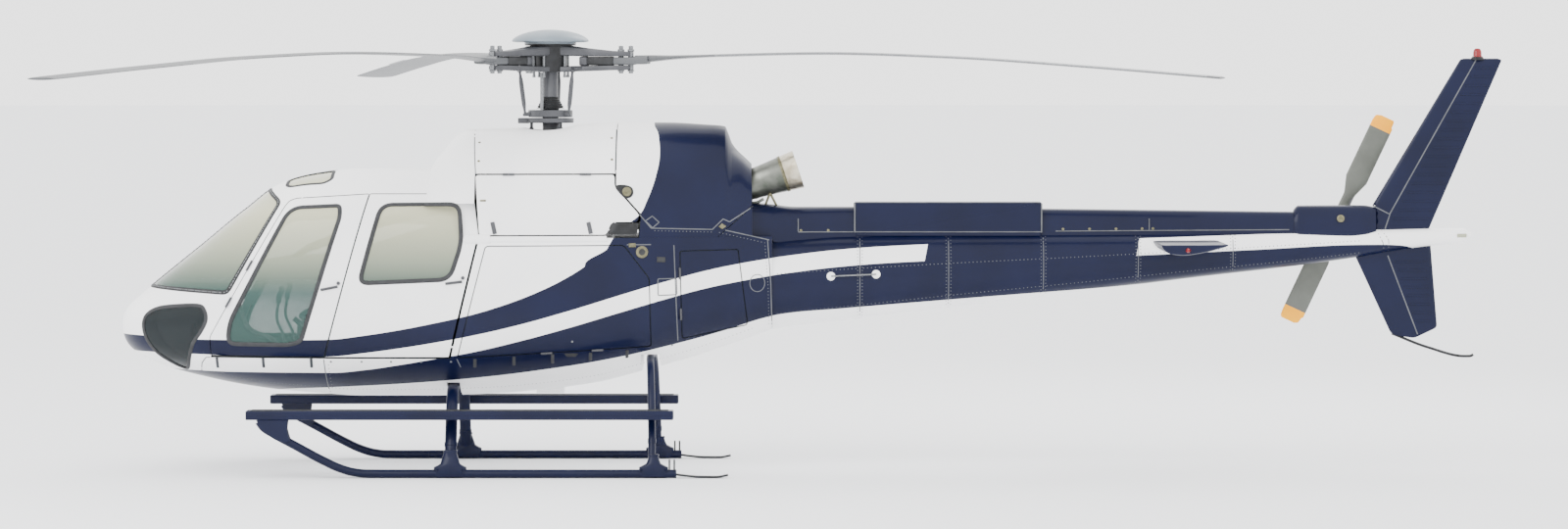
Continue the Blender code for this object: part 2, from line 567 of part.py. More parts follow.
def build_lower_and_centre():
    """Belly under the floor, and the centre fuselage with its baggage lockers and rear hold."""
    belly = hull("belly")
    under = ((-2.6316, 0.3), (-2.6316, FLOOR), (-0.700, FLOOR), (0.700, 0.982), (0.700, 0.3))
    combine(belly, side_prism("cut", under, 0), "INTERSECT")
    front_top = FRONT_TUBE[0][1] + TUBE_DEPTH + SEAT_GAP
    channel = block("channel", (-0.787, -0.685), (-1.0, 1.0), (0.3, front_top))
    combine(belly, channel)
    hook = block("hook", (-0.110, 0.110), (-0.090, 0.090), (HOOK_HEIGHT, 0.70))
    combine(belly, hook, "UNION")

    centre = hull("centre_fuselage")
    zone = ((-0.745, FLOOR + SEAT_GAP), (-0.512, 1.886), (-0.556, 2.196), (-0.556, 2.330), (-0.526, 2.330),
            (-0.482, 1.886), (-0.475, DECK), (HULL_END, DECK), (HULL_END, 0.7), (0.7004, 0.7),
            (0.7004, 0.9826), (-0.700, FLOOR + SEAT_GAP))
    combine(centre, side_prism("cut", zone, 0), "INTERSECT")
    rear_top = REAR_TUBE[0][1] + TUBE_DEPTH + SEAT_GAP
    combine(centre, block("channel", (0.730, 0.875), (-1.0, 1.0), (0.3, rear_top)))
    under_cowling = cowl("under_cowling", -0.03)
    combine(under_cowling, cowl("inner", COWL_SKIN + 0.007))
    combine(under_cowling, block("below", (-2, 2), (-1, 1), (1.0, DECK + 0.0195)))
    combine(centre, under_cowling)
    hinges = []
    for side, word in ((-1, "left"), (1, "right")):
        locker = hull("locker", SKIN)
        combine(locker, prism("cut", shrink(BAGGAGE_DOOR, 0.03), "y", *sorted((side * 0.30, side * 1.2))),
                "INTERSECT")
        combine(centre, locker)
        opening = prism("cut", BAGGAGE_DOOR, "y", *sorted((side * 0.56, side * 1.2)))
        band = hull("band", -0.02)
        combine(band, hull("inner", SKIN + 0.006))
        combine(opening, band, "INTERSECT")
        combine(centre, opening)
        door = skin_panel("baggage_door_" + word, shrink(BAGGAGE_DOOR, HATCH_GAP), side)
        clear_swing(centre, side)
        hinges.append((door, baggage_hinge(side)))
    hold = hull("hold", SKIN)
    combine(hold, prism("cut", shrink(HOLD_DOOR, 0.02), "y", -1.2, 0.9), "INTERSECT")
    combine(centre, hold)
    opening = prism("cut", HOLD_DOOR, "y", -1.2, -0.2)
    band = hull("band", -0.02)
    combine(band, hull("inner", SKIN + 0.006))
    combine(opening, band, "INTERSECT")
    combine(centre, opening)
    hatch = skin_panel("rear_hold_door", shrink(HOLD_DOOR, HATCH_GAP), -1)
    bevel_hatch(hatch)
    for door, hinge in hinges:
        knuckles(door, belly, hinge, (-0.06, 0.34), beside=centre)
        tidy(door)
    knuckles(hatch, centre, hold_hinge(), (-0.16, 0.16), 0.014)
    tidy(hatch)
    tidy(belly)
    tidy(centre)


def build_cowlings():
    """Fixed cowling over the gearbox, its two hinged doors, and the engine cowling."""
    fixed = cowl("gearbox_cowling")
    top_zone = ((-0.555, 2.352), (-0.555, 2.9), (0.534, 2.9), (0.534, 2.352))
    combine(fixed, side_prism("cut", top_zone, 0), "INTERSECT")
    combine(fixed, cowl("inner", COWL_SKIN))
    fairing = cowl("fairing")
    combine(fairing, block("cut", (-1.0, -0.550), (-1.2, 1.2), (2.12, 2.9)), "INTERSECT")
    combine(fairing, hull("inner", -SEAT_GAP))
    combine(fairing, block("cut", (-0.5615, -0.4), (-1.2, 1.2), (2.0, 2.3555)))
    combine(fixed, fairing, "UNION", solver="MANIFOLD")
    combine(fixed, rod("hole", (0, 0, up(2.5)), (0, 0, up(2.9)), 0.215, 28), solver="MANIFOLD")

    engine = cowl("engine_cowling", colour="white")
    foot = DECK + SEAT_GAP
    engine_zone = ((0.5405, 2.9), (0.5405, 2.254), (0.735, 2.034), (0.719, foot), (1.330, foot),
                   (1.5995, 2.096), (1.585, 2.9))
    combine(engine, side_prism("cut", engine_zone, 0), "INTERSECT")
    combine(engine, cowl("inner", COWL_SKIN))
    tidy(engine)
    for side, word in ((-1, "left"), (1, "right")):
        door = skin_panel("cowl_door_" + word, shrink(COWL_DOOR, DOOR_GAP), side, 0.0, COWL_SKIN, cowl)
        knuckles(door, fixed, cowl_door_hinge(side), (-0.30, 0.30), 0.013)
        tidy(door)
    tidy(fixed)


def build_machinery():
    """Main gearbox and engine on the deck, each as one plain block, and the exhaust pipe."""
    tidy(turned("main_gearbox", ((0.26, 0.0), (0.26, 0.18), (0.20, 0.34), (0.17, GEARBOX_HEIGHT)),
                (0, 0, up(DECK) + SEAT_GAP), sides=20))
    front, height, length = 0.62, 2.15, 0.72
    profile = ((0.10, 0.0), (0.24, 0.04), (0.27, 0.40), (0.22, 0.62), (0.13, length))
    engine = turned("engine", profile, (front, 0, up(height)), (1, 0, 0), 18, "steel")
    combine(engine, block("base", (0.70, 1.18), (-0.15, 0.15), (DECK + SEAT_GAP, 2.10)), "UNION")
    tidy(engine)
    path = curve_through(((1.325, 0, up(2.172)), (1.62, 0, up(2.262)), (1.964, -0.095, up(2.376))), 9)
    swell = smooth((0.0, 0.4, 1.0), (0.112, 0.120, 0.155))
    pipe = sweep("exhaust_pipe", path, 1.0, 1.0, Vector((0, 1, 0)), 20, "steel", swell)
    beyond = path[-1] + (path[-1] - path[-2]).normalized() * 0.05
    combine(pipe, sweep("bore", path[2:] + [beyond], 1.0, 1.0, Vector((0, 1, 0)), 20, "steel",
                        lambda t: swell(0.25 + 0.8 * t) - 0.006))
    flange = front + length + SEAT_GAP
    combine(pipe, block("engine_end", (1.0, flange), (-0.5, 0.5), (1.9, 2.5)))
    tidy(pipe)


def boom_ring(x, grow=0.0):
    """The boom's section, a superellipse a little squarer than an ellipse."""
    top, bottom, half = boom_top(x) + grow, boom_bottom(x) - grow, boom_half(x) + grow
    middle, reach = (top + bottom) / 2, (top - bottom) / 2
    ring = []
    for k in range(20):
        c, v = round_power(2 * math.pi * (k + 0.5) / 20, 2.3)
        ring.append((x, half * c, up(middle + reach * v)))
    return ring


def boom(name, grow=0.0):
    """The tail boom as one solid, grown by an amount."""
    stations = [row[0] for row in BOOM_LINES]
    rings = [boom_ring(x, grow) for x in stations]
    return loft(name, rings)


def spine_ring(x, top, half, low):
    """A low arch that stands on straight sides."""
    ring = [(x, half, up(low))]
    for k in range(11):
        angle = math.pi * k / 10
        c, v = round_power(angle, 2.6)
        ring.append((x, half * c, up(low + 0.02 + (top - low - 0.02) * v)))
    ring.append((x, -half, up(low)))
    return ring


def fin_section(x_front, x_rear, height, thickness, count=9):
    """A symmetrical aerofoil lying flat at one height."""
    ring = []
    chord = x_rear - x_front
    for side in (1, -1):
        steps = range(count) if side > 0 else range(count - 2, 0, -1)
        for k in steps:
            t = (1 - math.cos(math.pi * k / (count - 1))) / 2
            half = thickness * chord * (2.6 * math.sqrt(t) * (1 - t) ** 0.9 * 0.42 + 0.03)
            ring.append((x_front + chord * t, side * half, up(height)))
    return ring


def build_tail():
    """Boom, drive-shaft cover, raised box, fins, stabiliser, bumper and beacon."""
    tail = boom("tail_boom")
    low = 1.70
    spine = loft("shaft_cover", [spine_ring(x, spine_top(x), spine_half(x), low)
                                 for x in (1.590, 1.760, 1.944, 2.400, 3.200, 3.900, 4.900, 5.890)])
    box = prism("box", ((-0.130, 1.70), (-0.130, 2.085), (-0.100, 2.115), (0.100, 2.115), (0.130, 2.085),
                        (0.130, 1.70)), "x", 2.411, 3.888)
    combine(spine, box, "UNION")
    root = cowl("root")
    wedge = ((1.345, DECK + SEAT_GAP), (1.600, 2.084), (1.660, 2.084), (1.660, DECK + SEAT_GAP))
    combine(root, side_prism("cut", wedge, 0), "INTERSECT")
    combine(spine, root, "UNION")
    combine(spine, boom("under", SEAT_GAP))
    combine(spine, block("below", (1.0, 6.5), (-1, 1), (1.2, 1.78)))
    combine(spine, block("deck", (1.0, HULL_END + 0.001), (-1, 1), (1.2, DECK + SEAT_GAP)))
    tidy(spine)

    gear = loft("tail_gearbox_fairing", [spine_ring(x, top, half, 1.70) for x, top, half in
                ((5.8905, 2.050, 0.092), (5.925, 2.086, 0.104), (6.30, 2.088, 0.112), (6.46, 2.086, 0.100),
                 (6.540, 2.070, 0.075))])
    combine(gear, boom("under", SEAT_GAP))
    combine(gear, block("below", (5.5, 7.0), (-1, 1), (1.2, 1.80)))

    upper = loft("upper_fin", [fin_section(6.516 + 0.598 * (z - 2.086), 6.968 + 0.4267 * (z - 1.904), z, t)
                               for z, t in ((1.74, 0.17), (2.2, 0.15), (2.8, 0.13), (3.25, 0.12))])
    combine(upper, boom("under", SEAT_GAP))
    combine(upper, block("below", (5.5, 8.0), (-1, 1), (1.2, 1.84)))
    combine(upper, block("ahead", (5.5, 6.5404), (-1, 1), (1.2, 2.0870)))
    shaft = rod("shaft", (TAIL_ROTOR_AXIS[0], 0.0, up(TAIL_ROTOR_AXIS[1])),
                (TAIL_ROTOR_AXIS[0], TAIL_SHAFT_END, up(TAIL_ROTOR_AXIS[1])), 0.045, 16)
    combine(gear, shaft, "UNION")
    tidy(gear)
    tidy(upper)

    outline = ((6.380, 1.690), (6.663, 1.079), (6.700, 1.055), (6.850, 1.033), (7.033, 1.118), (6.975, 1.800),
               (6.300, 1.860))
    lower = loft("lower_fin", [fin_section(6.340 - 0.468 * (z - 1.76), 7.060, z, t)
                               for z, t in ((1.02, 0.13), (1.86, 0.14))])
    combine(lower, side_prism("cut", outline, 0), "INTERSECT")
    combine(lower, boom("under", SEAT_GAP))
    combine(lower, block("above", (6.0, 8.0), (-1, 1), (1.80, 2.0)))
    tidy(lower)

    section = [(4.766, 1.800), (4.790, 1.814), (5.278, 1.814), (5.278, 1.806), (5.150, 1.765),
               (5.000, 1.735), (4.900, 1.730), (4.820, 1.745), (4.775, 1.775)]
    stabiliser = prism("stabiliser", section, "y", -STABILISER_HALF_SPAN, STABILISER_HALF_SPAN, "navy")
    slot = prism("slot", shrink(section, -SEAT_GAP), "y", -0.6, 0.6)
    combine(tail, slot)
    tidy(tail)
    tidy(stabiliser)

    path = curve_through(((6.675, 0, up(1.070)), (6.960, 0, up(0.960)), (7.253, 0, up(0.889)),
                          (7.300, 0, up(0.890)), (7.322, 0, up(0.903))), 12)
    bumper = sweep("tail_bumper", path, 0.011, 0.011, Vector((0, 1, 0)), 10, "grey")
    above = ((6.60, 1.20), (6.663, 1.079 - SEAT_GAP), (6.700, 1.055 - SEAT_GAP), (6.850, 1.033 - SEAT_GAP),
             (6.90, 1.20))
    combine(bumper, side_prism("cut", above, 0))
    tidy(bumper)
    tidy(turned("beacon", ((0.042, 0.0), (0.042, 0.018), (0.030, 0.022), (0.030, 0.062), (0.022, 0.076),
                           (0.008, 0.082)), (7.344, 0, up(3.2502) + SEAT_GAP), sides=20, colour="red"))


def azimuth(degrees):
    """Unit vector at an angle from aft, clockwise from above."""
    angle = math.radians(degrees)
    return Vector((math.cos(angle), -math.sin(angle), 0.0))


def blade_section(radius, chord, thickness, lift, heading, point_count=7):
    """An aerofoil square to the blade, its front edge towards the turning direction."""
    lead = azimuth(heading + 90.0)
    out = azimuth(heading)
    ring = []
    for side in (1, -1):
        steps = range(point_count) if side > 0 else range(point_count - 2, 0, -1)
        for k in steps:
            t = (1 - math.cos(math.pi * k / (point_count - 1))) / 2
            half = thickness * (1.45 * math.sqrt(t) * (1 - t) ** 0.75 * 0.78 + 0.04)
            place = out * radius + lead * chord * (0.28 - t)
            ring.append((place.x, place.y, up(ROTOR_HEIGHT + lift) + side * half))
    return ring


def build_rotor():
    """Star hub with its arms, blades, dome, mast and swashplates."""
    blade_lift = smooth((0.6, 1.4, 2.2, 3.2, 4.3, ROTOR_RADIUS), (0.0, 0.035, 0.050, 0.020, -0.055, -0.140))
    blade_width = smooth((0.60, 0.80, 1.00, 1.25, 6.0), (0.115, 0.130, 0.250, BLADE_CHORD, BLADE_CHORD))
    star = turned("rotor_star", ((0.075, 0.0), (0.140, 0.02), (0.150, 0.11), (0.195, 0.13), (0.195, 0.214)),
                  (0, 0, up(3.152)), sides=24)
    for number, angle in enumerate(BLADE_AZIMUTHS, 1):
        out, lead = azimuth(angle), azimuth(angle + 90.0)
        for bottom, top in PLATES:
            reach = 0.655
            corners = [out * 0.06 - lead * 0.085, out * 0.06 + lead * 0.085, out * 0.45 + lead * 0.060,
                       out * reach + lead * 0.050, out * reach - lead * 0.050, out * 0.45 - lead * 0.060]
            plate = loft("plate", [[(p.x, p.y, up(bottom)) for p in corners],
                                   [(p.x, p.y, up(top)) for p in corners]])
            combine(star, plate, "UNION")
        corners = [out * 0.24 - lead * 0.05, out * 0.24 + lead * 0.05, out * 0.50 + lead * 0.05,
                   out * 0.50 - lead * 0.05]
        pad = loft("pad", [[(p.x, p.y, up(3.18)) for p in corners], [(p.x, p.y, up(3.28)) for p in corners]])
        combine(star, pad, "UNION")
        horn = azimuth(angle + 32.0) * 0.262
        arm_end = out * 0.30
        side_step = (horn - arm_end).normalized().cross(Vector((0, 0, 1))) * 0.022
        corners = [arm_end - side_step, arm_end + side_step, horn + side_step, horn - side_step]
        arm = loft("horn", [[(p.x, p.y, up(height)) for p in corners] for height in HORN])
        combine(star, arm, "UNION")
        rings = []
        for radius in BLADE_STATIONS:
            thin = 0.026 if radius < 0.7 else 0.030 if radius < 1.05 else 0.021
            chord = blade_width(radius) if radius < 5.3 else BLADE_CHORD * 0.86
            rings.append(blade_section(radius, chord, thin, blade_lift(radius), angle))
        blade = loft("main_blade_%d" % number, rings, "grey")
        low, high = PLATES[1][1] + SEAT_GAP, PLATES[0][0] - SEAT_GAP
        ends = ((0.520, 0.048, low, high), (0.700, 0.048, low, high), (0.790, 0.040, 3.228, 3.256))
        cuff = loft("cuff", [[(out * r + lead * w * s).to_tuple()[:2] + (up(h),) for s, h in
                              ((-1, a), (1, a), (1, b), (-1, b))] for r, w, a, b in ends])
        combine(blade, cuff, "UNION")
        tidy(blade)
    tidy(star)
    tidy(turned("rotor_dome", ((0.205, 0.0), (0.205, 0.022), (0.285, 0.024), (0.306, 0.036), (0.285, 0.066),
                               (0.20, 0.098), (0.10, 0.112), (0.03, 0.115)), (0, 0, up(3.3665)), sides=28))
    foot = DECK + GEARBOX_HEIGHT + 2 * SEAT_GAP
    profile = ((0.063, foot), (0.063, 2.8445), (0.112, 2.8595), (0.106, 2.8795), (0.060, 2.9615),
               (0.060, 3.1515))
    tidy(turned("mast", [(r, h - foot) for r, h in profile], (0, 0, up(foot)), sides=24))
    lower = up(2.740)
    fixed = turned("swashplate_fixed", ((0.185, 0.0), (0.185, 0.040)), (0, 0, lower), sides=24)
    combine(fixed, rod("bore", (0, 0, lower - 0.1), (0, 0, lower + 0.2), 0.075, 20))
    for angle in (60.0, 180.0, 300.0):
        foot = azimuth(angle) * 0.150
        post = rod("post", (foot.x, foot.y, up(2.4505)), (foot.x, foot.y, lower + 0.02), 0.018, 10)
        combine(fixed, post, "UNION")
    combine(fixed, block("scissor", (-0.257, -0.165), (-0.03, 0.03), (2.737, 2.780)), "UNION")
    tidy(fixed)
    turning = turned("swashplate_turning", ((0.176, 0.0), (0.176, 0.0585)), (0, 0, up(2.785)), sides=24)
    combine(turning, rod("bore", (0, 0, up(2.7)), (0, 0, up(2.9)), 0.063 + SEAT_GAP, 24))
    for angle in BLADE_AZIMUTHS:
        low_end, high_end = azimuth(angle + 32.0) * 0.205, azimuth(angle + 32.0) * 0.252
        lug = block("lug", (-0.03, 0.03), (-0.03, 0.03), (2.790, 2.835))
        lug.location = (low_end.x * 0.93, low_end.y * 0.93, 0)
        bpy.context.view_layer.update()
        combine(turning, lug, "UNION")
        link = rod("link", (low_end.x, low_end.y, up(2.80)), (high_end.x, high_end.y, up(3.1660)), 0.013, 10)
        combine(turning, link, "UNION")
    tidy(turning)


def build_tail_rotor():
    """Hub and two blades on the starboard side, turning about a line across the boom."""
    x, height = TAIL_ROTOR_AXIS
    z = up(height)
    start = TAIL_SHAFT_END + SEAT_GAP
    tidy(turned("tail_rotor_hub", ((0.040, 0.0), (0.055, 0.02), (0.055, 0.140), (0.030, TAIL_HUB_LENGTH)),
                (x, start, z), (0, 1, 0), 20))
    low, high = (Vector((p[0], 0.0, p[1])) for p in TAIL_ROTOR_TIPS)
    tip = (high - low).normalized()
    across = Vector((0, 1, 0)).cross(tip)
    rings = []
    for share, front, rear, half in ((-1.0, 0.045, -0.080, 0.006), (-0.956, 0.090, -0.090, 0.010),
                                     (-0.39, 0.090, -0.090, 0.014), (-0.245, 0.045, -0.045, 0.020),
                                     (0.245, 0.045, -0.045, 0.020), (0.39, 0.090, -0.090, 0.014),
                                     (0.956, 0.090, -0.090, 0.010), (1.0, 0.080, -0.045, 0.006)):
        centre = Vector((x, TAIL_BLADE_PLANE[0], z)) + tip * TAIL_ROTOR_RADIUS * share
        ring = []
        for k in range(12):
            angle = 2 * math.pi * k / 12
            reach = (front - rear) / 2 * math.cos(angle) + (front + rear) / 2
            ring.append(centre + across * reach + Vector((0, half * math.sin(angle), 0)))
        rings.append(ring)
    blades = loft("tail_rotor_blades", rings, "grey")
    collar = start + TAIL_HUB_LENGTH + SEAT_GAP
    combine(blades, rod("collar", (x, collar, z), (x, TAIL_BLADE_PLANE[1], z), 0.05, 20), "UNION")
    tidy(blades)


def cross_tube(name, x_top, x_foot, line, wide, grow=0.0):
    """A flattened tube from skid to skid, half of its line given from the middle outwards."""
    half = [(x_top + (x_foot - x_top) * min(1.0, max(0.0, (y - 0.5) / 0.5)), y, up(h)) for y, h in line]
    whole = [(x, -y, z) for x, y, z in half[:0:-1]] + half
    return sweep(name, curve_through(whole, 33), wide + grow, TUBE_DEPTH + grow, sides=12, colour="navy")


def build_gear():
    """Cross tubes through the belly, skid tubes with turned-up fronts, and a long step on each side."""
    for name, x_top, x_foot, line, wide in TUBES:
        tidy(cross_tube(name, x_top, x_foot, line, wide))
    toe = ((1.017, 0.033), (0.40, 0.033), (-0.40, 0.033), (-1.20, 0.033), (-1.395, 0.034), (-1.486, 0.045),
           (-1.600, 0.079), (-1.714, 0.132), (-1.941, 0.254), (-2.093, 0.337), (-2.184, 0.395),
           (-2.240, 0.480))
    for side, word in ((-1, "left"), (1, "right")):
        path = curve_through([(x, side * TRACK_HALF, up(h)) for x, h in toe], 34)
        skid = sweep("skid_" + word, path, SKID_RADIUS, SKID_RADIUS, Vector((0, 1, 0)), 12, "navy")
        for x, length, tall in ((-0.736, 0.270, 0.060), (0.826, 0.240, 0.050)):
            saddle = block("saddle", (x - length / 2, x + length / 2),
                           sorted((side * (TRACK_HALF - 0.045), side * (TRACK_HALF + 0.045))),
                           (0.004, 0.066 + 0.006), "navy")
            combine(skid, saddle, "UNION")
        combine(skid, block("under_step", (-2.5, -2.0), (-1.3, 1.3), (0.451 - SEAT_GAP, 1.0)))
        step = prism("step_" + word, ((0.945, 0.451), (1.125, 0.451), (1.135, 0.461), (1.135, 0.513),
                                      (1.125, 0.523), (0.945, 0.523), (0.935, 0.513), (0.935, 0.461)),
                     "x", -2.317, 0.994, "navy")
        if side < 0:
            for corner in step.data.vertices:
                corner.co.y = -corner.co.y
            step.data.flip_normals()
        tidy(step)
    trim_gear()


def trim_gear():
    """Feet of the cross tubes on their saddles, and a bracket from each tube to each step."""
    saddle_top = 0.072
    for name, x_top, x_foot, line, wide in TUBES:
        tube = bpy.data.objects[name]
        combine(tube, block("foot", (-1.2, 1.2), (-1.3, 1.3), (-0.2, saddle_top + SEAT_GAP)))
        for side, word in ((-1, "left"), (1, "right")):
            step = bpy.data.objects["step_" + word]
            reach = float(np.interp(-BRACKET[0], [-h for y, h in line], [y for y, h in line]))
            x = x_top + (x_foot - x_top) * (reach - 0.5) / 0.5
            bracket = block("bracket", (x - 0.030, x + 0.030), sorted((side * reach, side * 0.955)), BRACKET)
            combine(bracket, cross_tube("room", x_top, x_foot, line, wide, SEAT_GAP))
            combine(step, bracket, "UNION")
    for word in ("left", "right"):
        tidy(bpy.data.objects["skid_" + word])
        tidy(bpy.data.objects["step_" + word])


def seat(name, x, y, floor, rise, back, colour="cloth"):
    """One plain solid for a seat: a base to the floor, a cushion and a leaning back."""
    front, rear = x
    profile = ((front + 0.06, floor), (front, rise - 0.10), (front, rise), (rear - 0.12, rise),
               (rear - 0.02, back), (rear + 0.10, back), (rear + 0.02, rise - 0.10), (rear - 0.06, floor))
    return tidy(prism(name, profile, "y", *y, colour))


def build_cabin():
    """Two front seats, a rear bench and the instrument console."""
    low = FLOOR + SEAT_GAP
    seat("front_seat_left", (-1.98, -1.48), (-0.62, -0.14), low, 1.28, 1.95)
    seat("front_seat_right", (-1.98, -1.48), (0.14, 0.62), low, 1.28, 1.95)
    seat("rear_bench", (-1.26, -0.84), (-0.66, 0.66), low, 1.26, 1.86)
    profile = ((-2.60, low), (-2.78, 1.10), (-2.72, 1.36), (-2.60, 1.42), (-2.50, 1.36), (-2.38, 1.10),
               (-2.20, 1.04), (-2.16, low))
    tidy(prism("instrument_console", profile, "y", -0.20, 0.20, "dark"))


def turn_about(point, *names):
    """Origins of moving pieces put on their joint's axis."""
    point = Vector(point)
    for name in names:
        piece = bpy.data.objects[name]
        for corner in piece.data.vertices:
            corner.co -= point
        piece.location = point


def place_origins():
    """Each moving piece turns about its own origin."""
    turn_about((0, 0, up(ROTOR_HEIGHT)), "rotor_star", "rotor_dome", "mast", "swashplate_turning",
               "main_blade_1", "main_blade_2", "main_blade_3")
    hub = (TAIL_ROTOR_AXIS[0], TAIL_BLADE_PLANE[0], up(TAIL_ROTOR_AXIS[1]))
    turn_about(hub, "tail_rotor_hub", "tail_rotor_blades")
    turn_about(hold_hinge()[0], "rear_hold_door")
    for side, word in ((-1, "_left"), (1, "_right")):
        turn_about(front_door_hinge(side)[0], "front_door" + word, "front_glass" + word)
        turn_about(baggage_hinge(side)[0], "baggage_door" + word)
        turn_about(cowl_door_hinge(side)[0], "cowl_door" + word)


def main():
    """The whole helicopter, piece by piece."""
    remove_everything()
    nose, roof = build_nose_and_roof()
    build_cabin_doors(nose)
    tidy(nose)
    tidy(roof)
    build_lower_and_centre()
    build_cowlings()
    build_machinery()
    build_tail()
    build_rotor()
    build_tail_rotor()
    build_gear()
    build_cabin()
    place_origins()


main()
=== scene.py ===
# %% [markdown]
# # A light helicopter, dressed over its solids
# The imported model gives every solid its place. This lesson lays the finished surfaces over them: smooth
# skins, paint, glass, the rotor head and the small fittings. All lengths are metres, +X runs aft and +Z up.

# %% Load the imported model
import json
import math

import bpy
import numpy as np
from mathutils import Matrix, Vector

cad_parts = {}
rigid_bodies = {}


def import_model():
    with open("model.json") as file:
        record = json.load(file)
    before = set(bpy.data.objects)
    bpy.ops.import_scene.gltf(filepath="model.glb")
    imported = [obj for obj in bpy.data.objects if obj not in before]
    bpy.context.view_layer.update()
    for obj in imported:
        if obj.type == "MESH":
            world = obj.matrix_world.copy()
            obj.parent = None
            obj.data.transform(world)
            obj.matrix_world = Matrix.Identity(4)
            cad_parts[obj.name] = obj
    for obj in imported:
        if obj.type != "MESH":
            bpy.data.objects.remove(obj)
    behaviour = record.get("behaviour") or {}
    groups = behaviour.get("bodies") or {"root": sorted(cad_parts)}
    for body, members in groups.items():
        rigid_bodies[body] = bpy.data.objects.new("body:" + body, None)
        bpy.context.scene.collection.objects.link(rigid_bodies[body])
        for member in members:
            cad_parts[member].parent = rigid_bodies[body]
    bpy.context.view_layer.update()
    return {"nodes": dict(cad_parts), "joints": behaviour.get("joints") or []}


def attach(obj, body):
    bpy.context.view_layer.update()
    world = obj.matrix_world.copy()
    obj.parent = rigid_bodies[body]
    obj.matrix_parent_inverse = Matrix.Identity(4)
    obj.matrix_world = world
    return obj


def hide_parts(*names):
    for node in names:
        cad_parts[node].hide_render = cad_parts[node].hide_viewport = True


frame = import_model()

# %% [markdown]
# The picture is a side view from far away, so the camera stands 44 m to port, 3.2 m above the ground, and
# looks at the middle of the picture. A long lens then keeps the near and far sides almost the same size.

# %% Camera
GROUND = -0.6
LIFT = (0, 0, GROUND)    # takes heights above the ground to the frame's z
CAMERA_BACK = 44.0
PICTURE_WIDTH = 12.44
AIM = (1.851, 0.0, 1.017)
camera = bpy.data.objects.new("side_camera", bpy.data.cameras.new("side_camera"))
bpy.context.scene.collection.objects.link(camera)
camera.location = (AIM[0], -CAMERA_BACK, GROUND + 3.2)
fall = math.atan2(camera.location.z - AIM[2], CAMERA_BACK)
camera.rotation_euler = (math.pi / 2 - fall, 0.0, 0.0)
camera.data.sensor_width = 36.0
camera.data.lens = 36.0 * math.hypot(CAMERA_BACK, camera.location.z - AIM[2]) / PICTURE_WIDTH
camera.data.clip_end = 1000.0
bpy.context.scene.camera = camera
print("lens mm:", round(camera.data.lens, 1))

# %% [markdown]
# Every mesh here is made the same way: arrays of points and of faces go into one mesh, which gets a body to
# ride on and a finish. A grid of points is the usual case, so one function turns a grid into faces.


# %% Points and faces to a piece
def unit(vectors):
    """Vectors scaled to length 1."""
    vectors = np.asarray(vectors, float)
    return vectors / np.linalg.norm(vectors, axis=-1, keepdims=True)


def points_at(x, y, height):
    """Points from x, y and height above the ground, each a number or an array."""
    return np.stack(np.broadcast_arrays(x, y, np.asarray(height) + GROUND), -1)


def full_turn(count):
    """Angles of a whole turn in equal steps."""
    return np.linspace(0, 2 * np.pi, count, endpoint=False)


def make_mesh(name, points, faces, sharp=35.0):
    """A mesh object from points and faces, smooth except at edges sharper than the angle."""
    mesh = bpy.data.meshes.new(name)
    mesh.from_pydata(np.asarray(points, float).tolist(), [], faces)
    mesh.validate()
    mesh.shade_smooth()
    mesh.set_sharp_from_angle(angle=math.radians(sharp))
    made = bpy.data.objects.new(name, mesh)
    bpy.context.scene.collection.objects.link(made)
    return made


def grid_faces(rows, columns, ring):
    """Quads between neighbours of a grid closed round each row; a ring joins its end rows too."""
    r = np.arange(rows if ring else rows - 1)[:, None]
    c = np.arange(columns)[None, :]
    after, beside = (r + 1) % rows, (c + 1) % columns
    quads = np.stack([r * columns + c, r * columns + beside, after * columns + beside, after * columns + c],
                     -1)
    faces = quads.reshape(-1, 4).tolist()
    if not ring:
        faces.append(list(range(columns))[::-1])
        faces.append([(rows - 1) * columns + i for i in range(columns)])
    return faces


def outward(piece):
    """Turns the mesh inside out if its signed volume, the sum of a . (b x c) / 6, is negative."""
    mesh = piece.data
    mesh.calc_loop_triangles()
    corners = np.empty(len(mesh.loop_triangles) * 3, np.int32)
    mesh.loop_triangles.foreach_get("vertices", corners)
    spots = np.empty(len(mesh.vertices) * 3)
    mesh.vertices.foreach_get("co", spots)
    a, b, c = spots.reshape(-1, 3)[corners.reshape(-1, 3)].transpose(1, 0, 2)
    if np.einsum("ij,ij->i", a, np.cross(b, c)).sum() < 0:
        mesh.flip_normals()
    return piece


def loft(name, rings):
    """Rings of equal point count skinned one to the next, with both ends closed."""
    rings = np.asarray(rings, float)
    return outward(make_mesh(name, rings.reshape(-1, 3), grid_faces(*rings.shape[:2], False)))


def wear(piece, finish, replaced=(), body="airframe"):
    """Gives a piece its finish (or outside, inside, edge) and body, and hides the solids it stands for."""
    finishes = finish if isinstance(finish, tuple) else (finish,)
    worn = piece.data.materials
    for k, item in enumerate(finishes):
        if k < len(worn):
            worn[k] = item
        else:
            worn.append(item)
    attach(piece, body)
    if replaced:
        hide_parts(*replaced)
    return piece


# %% [markdown]
# Real finishes are described by a few numbers, and a pattern by a real size. One function turns hex colours
# to linear light and one adds a node, so that each finish below reads like a recipe.


# %% Colours and nodes
def hex_colour(code):
    """sRGB to linear light: c / 12.92 below 0.04045, otherwise ((c + 0.055) / 1.055) to the power 2.4."""
    srgb = np.array([int(code[i:i + 2], 16) for i in (1, 3, 5)]) / 255
    linear = np.where(srgb <= 0.04045, srgb / 12.92, ((srgb + 0.055) / 1.055) ** 2.4)
    return (*linear.tolist(), 1.0)


def node(tree, kind, settings=None, links=None):
    """Adds a node, sets its properties or socket values, and links outputs to its inputs."""
    made = tree.nodes.new(kind)
    for key, value in (settings or {}).items():
        if isinstance(key, str) and hasattr(made, key):
            setattr(made, key, value)
        else:
            made.inputs[key].default_value = value
    for key, source in (links or {}).items():
        tree.links.new(source, made.inputs[key])
    return made


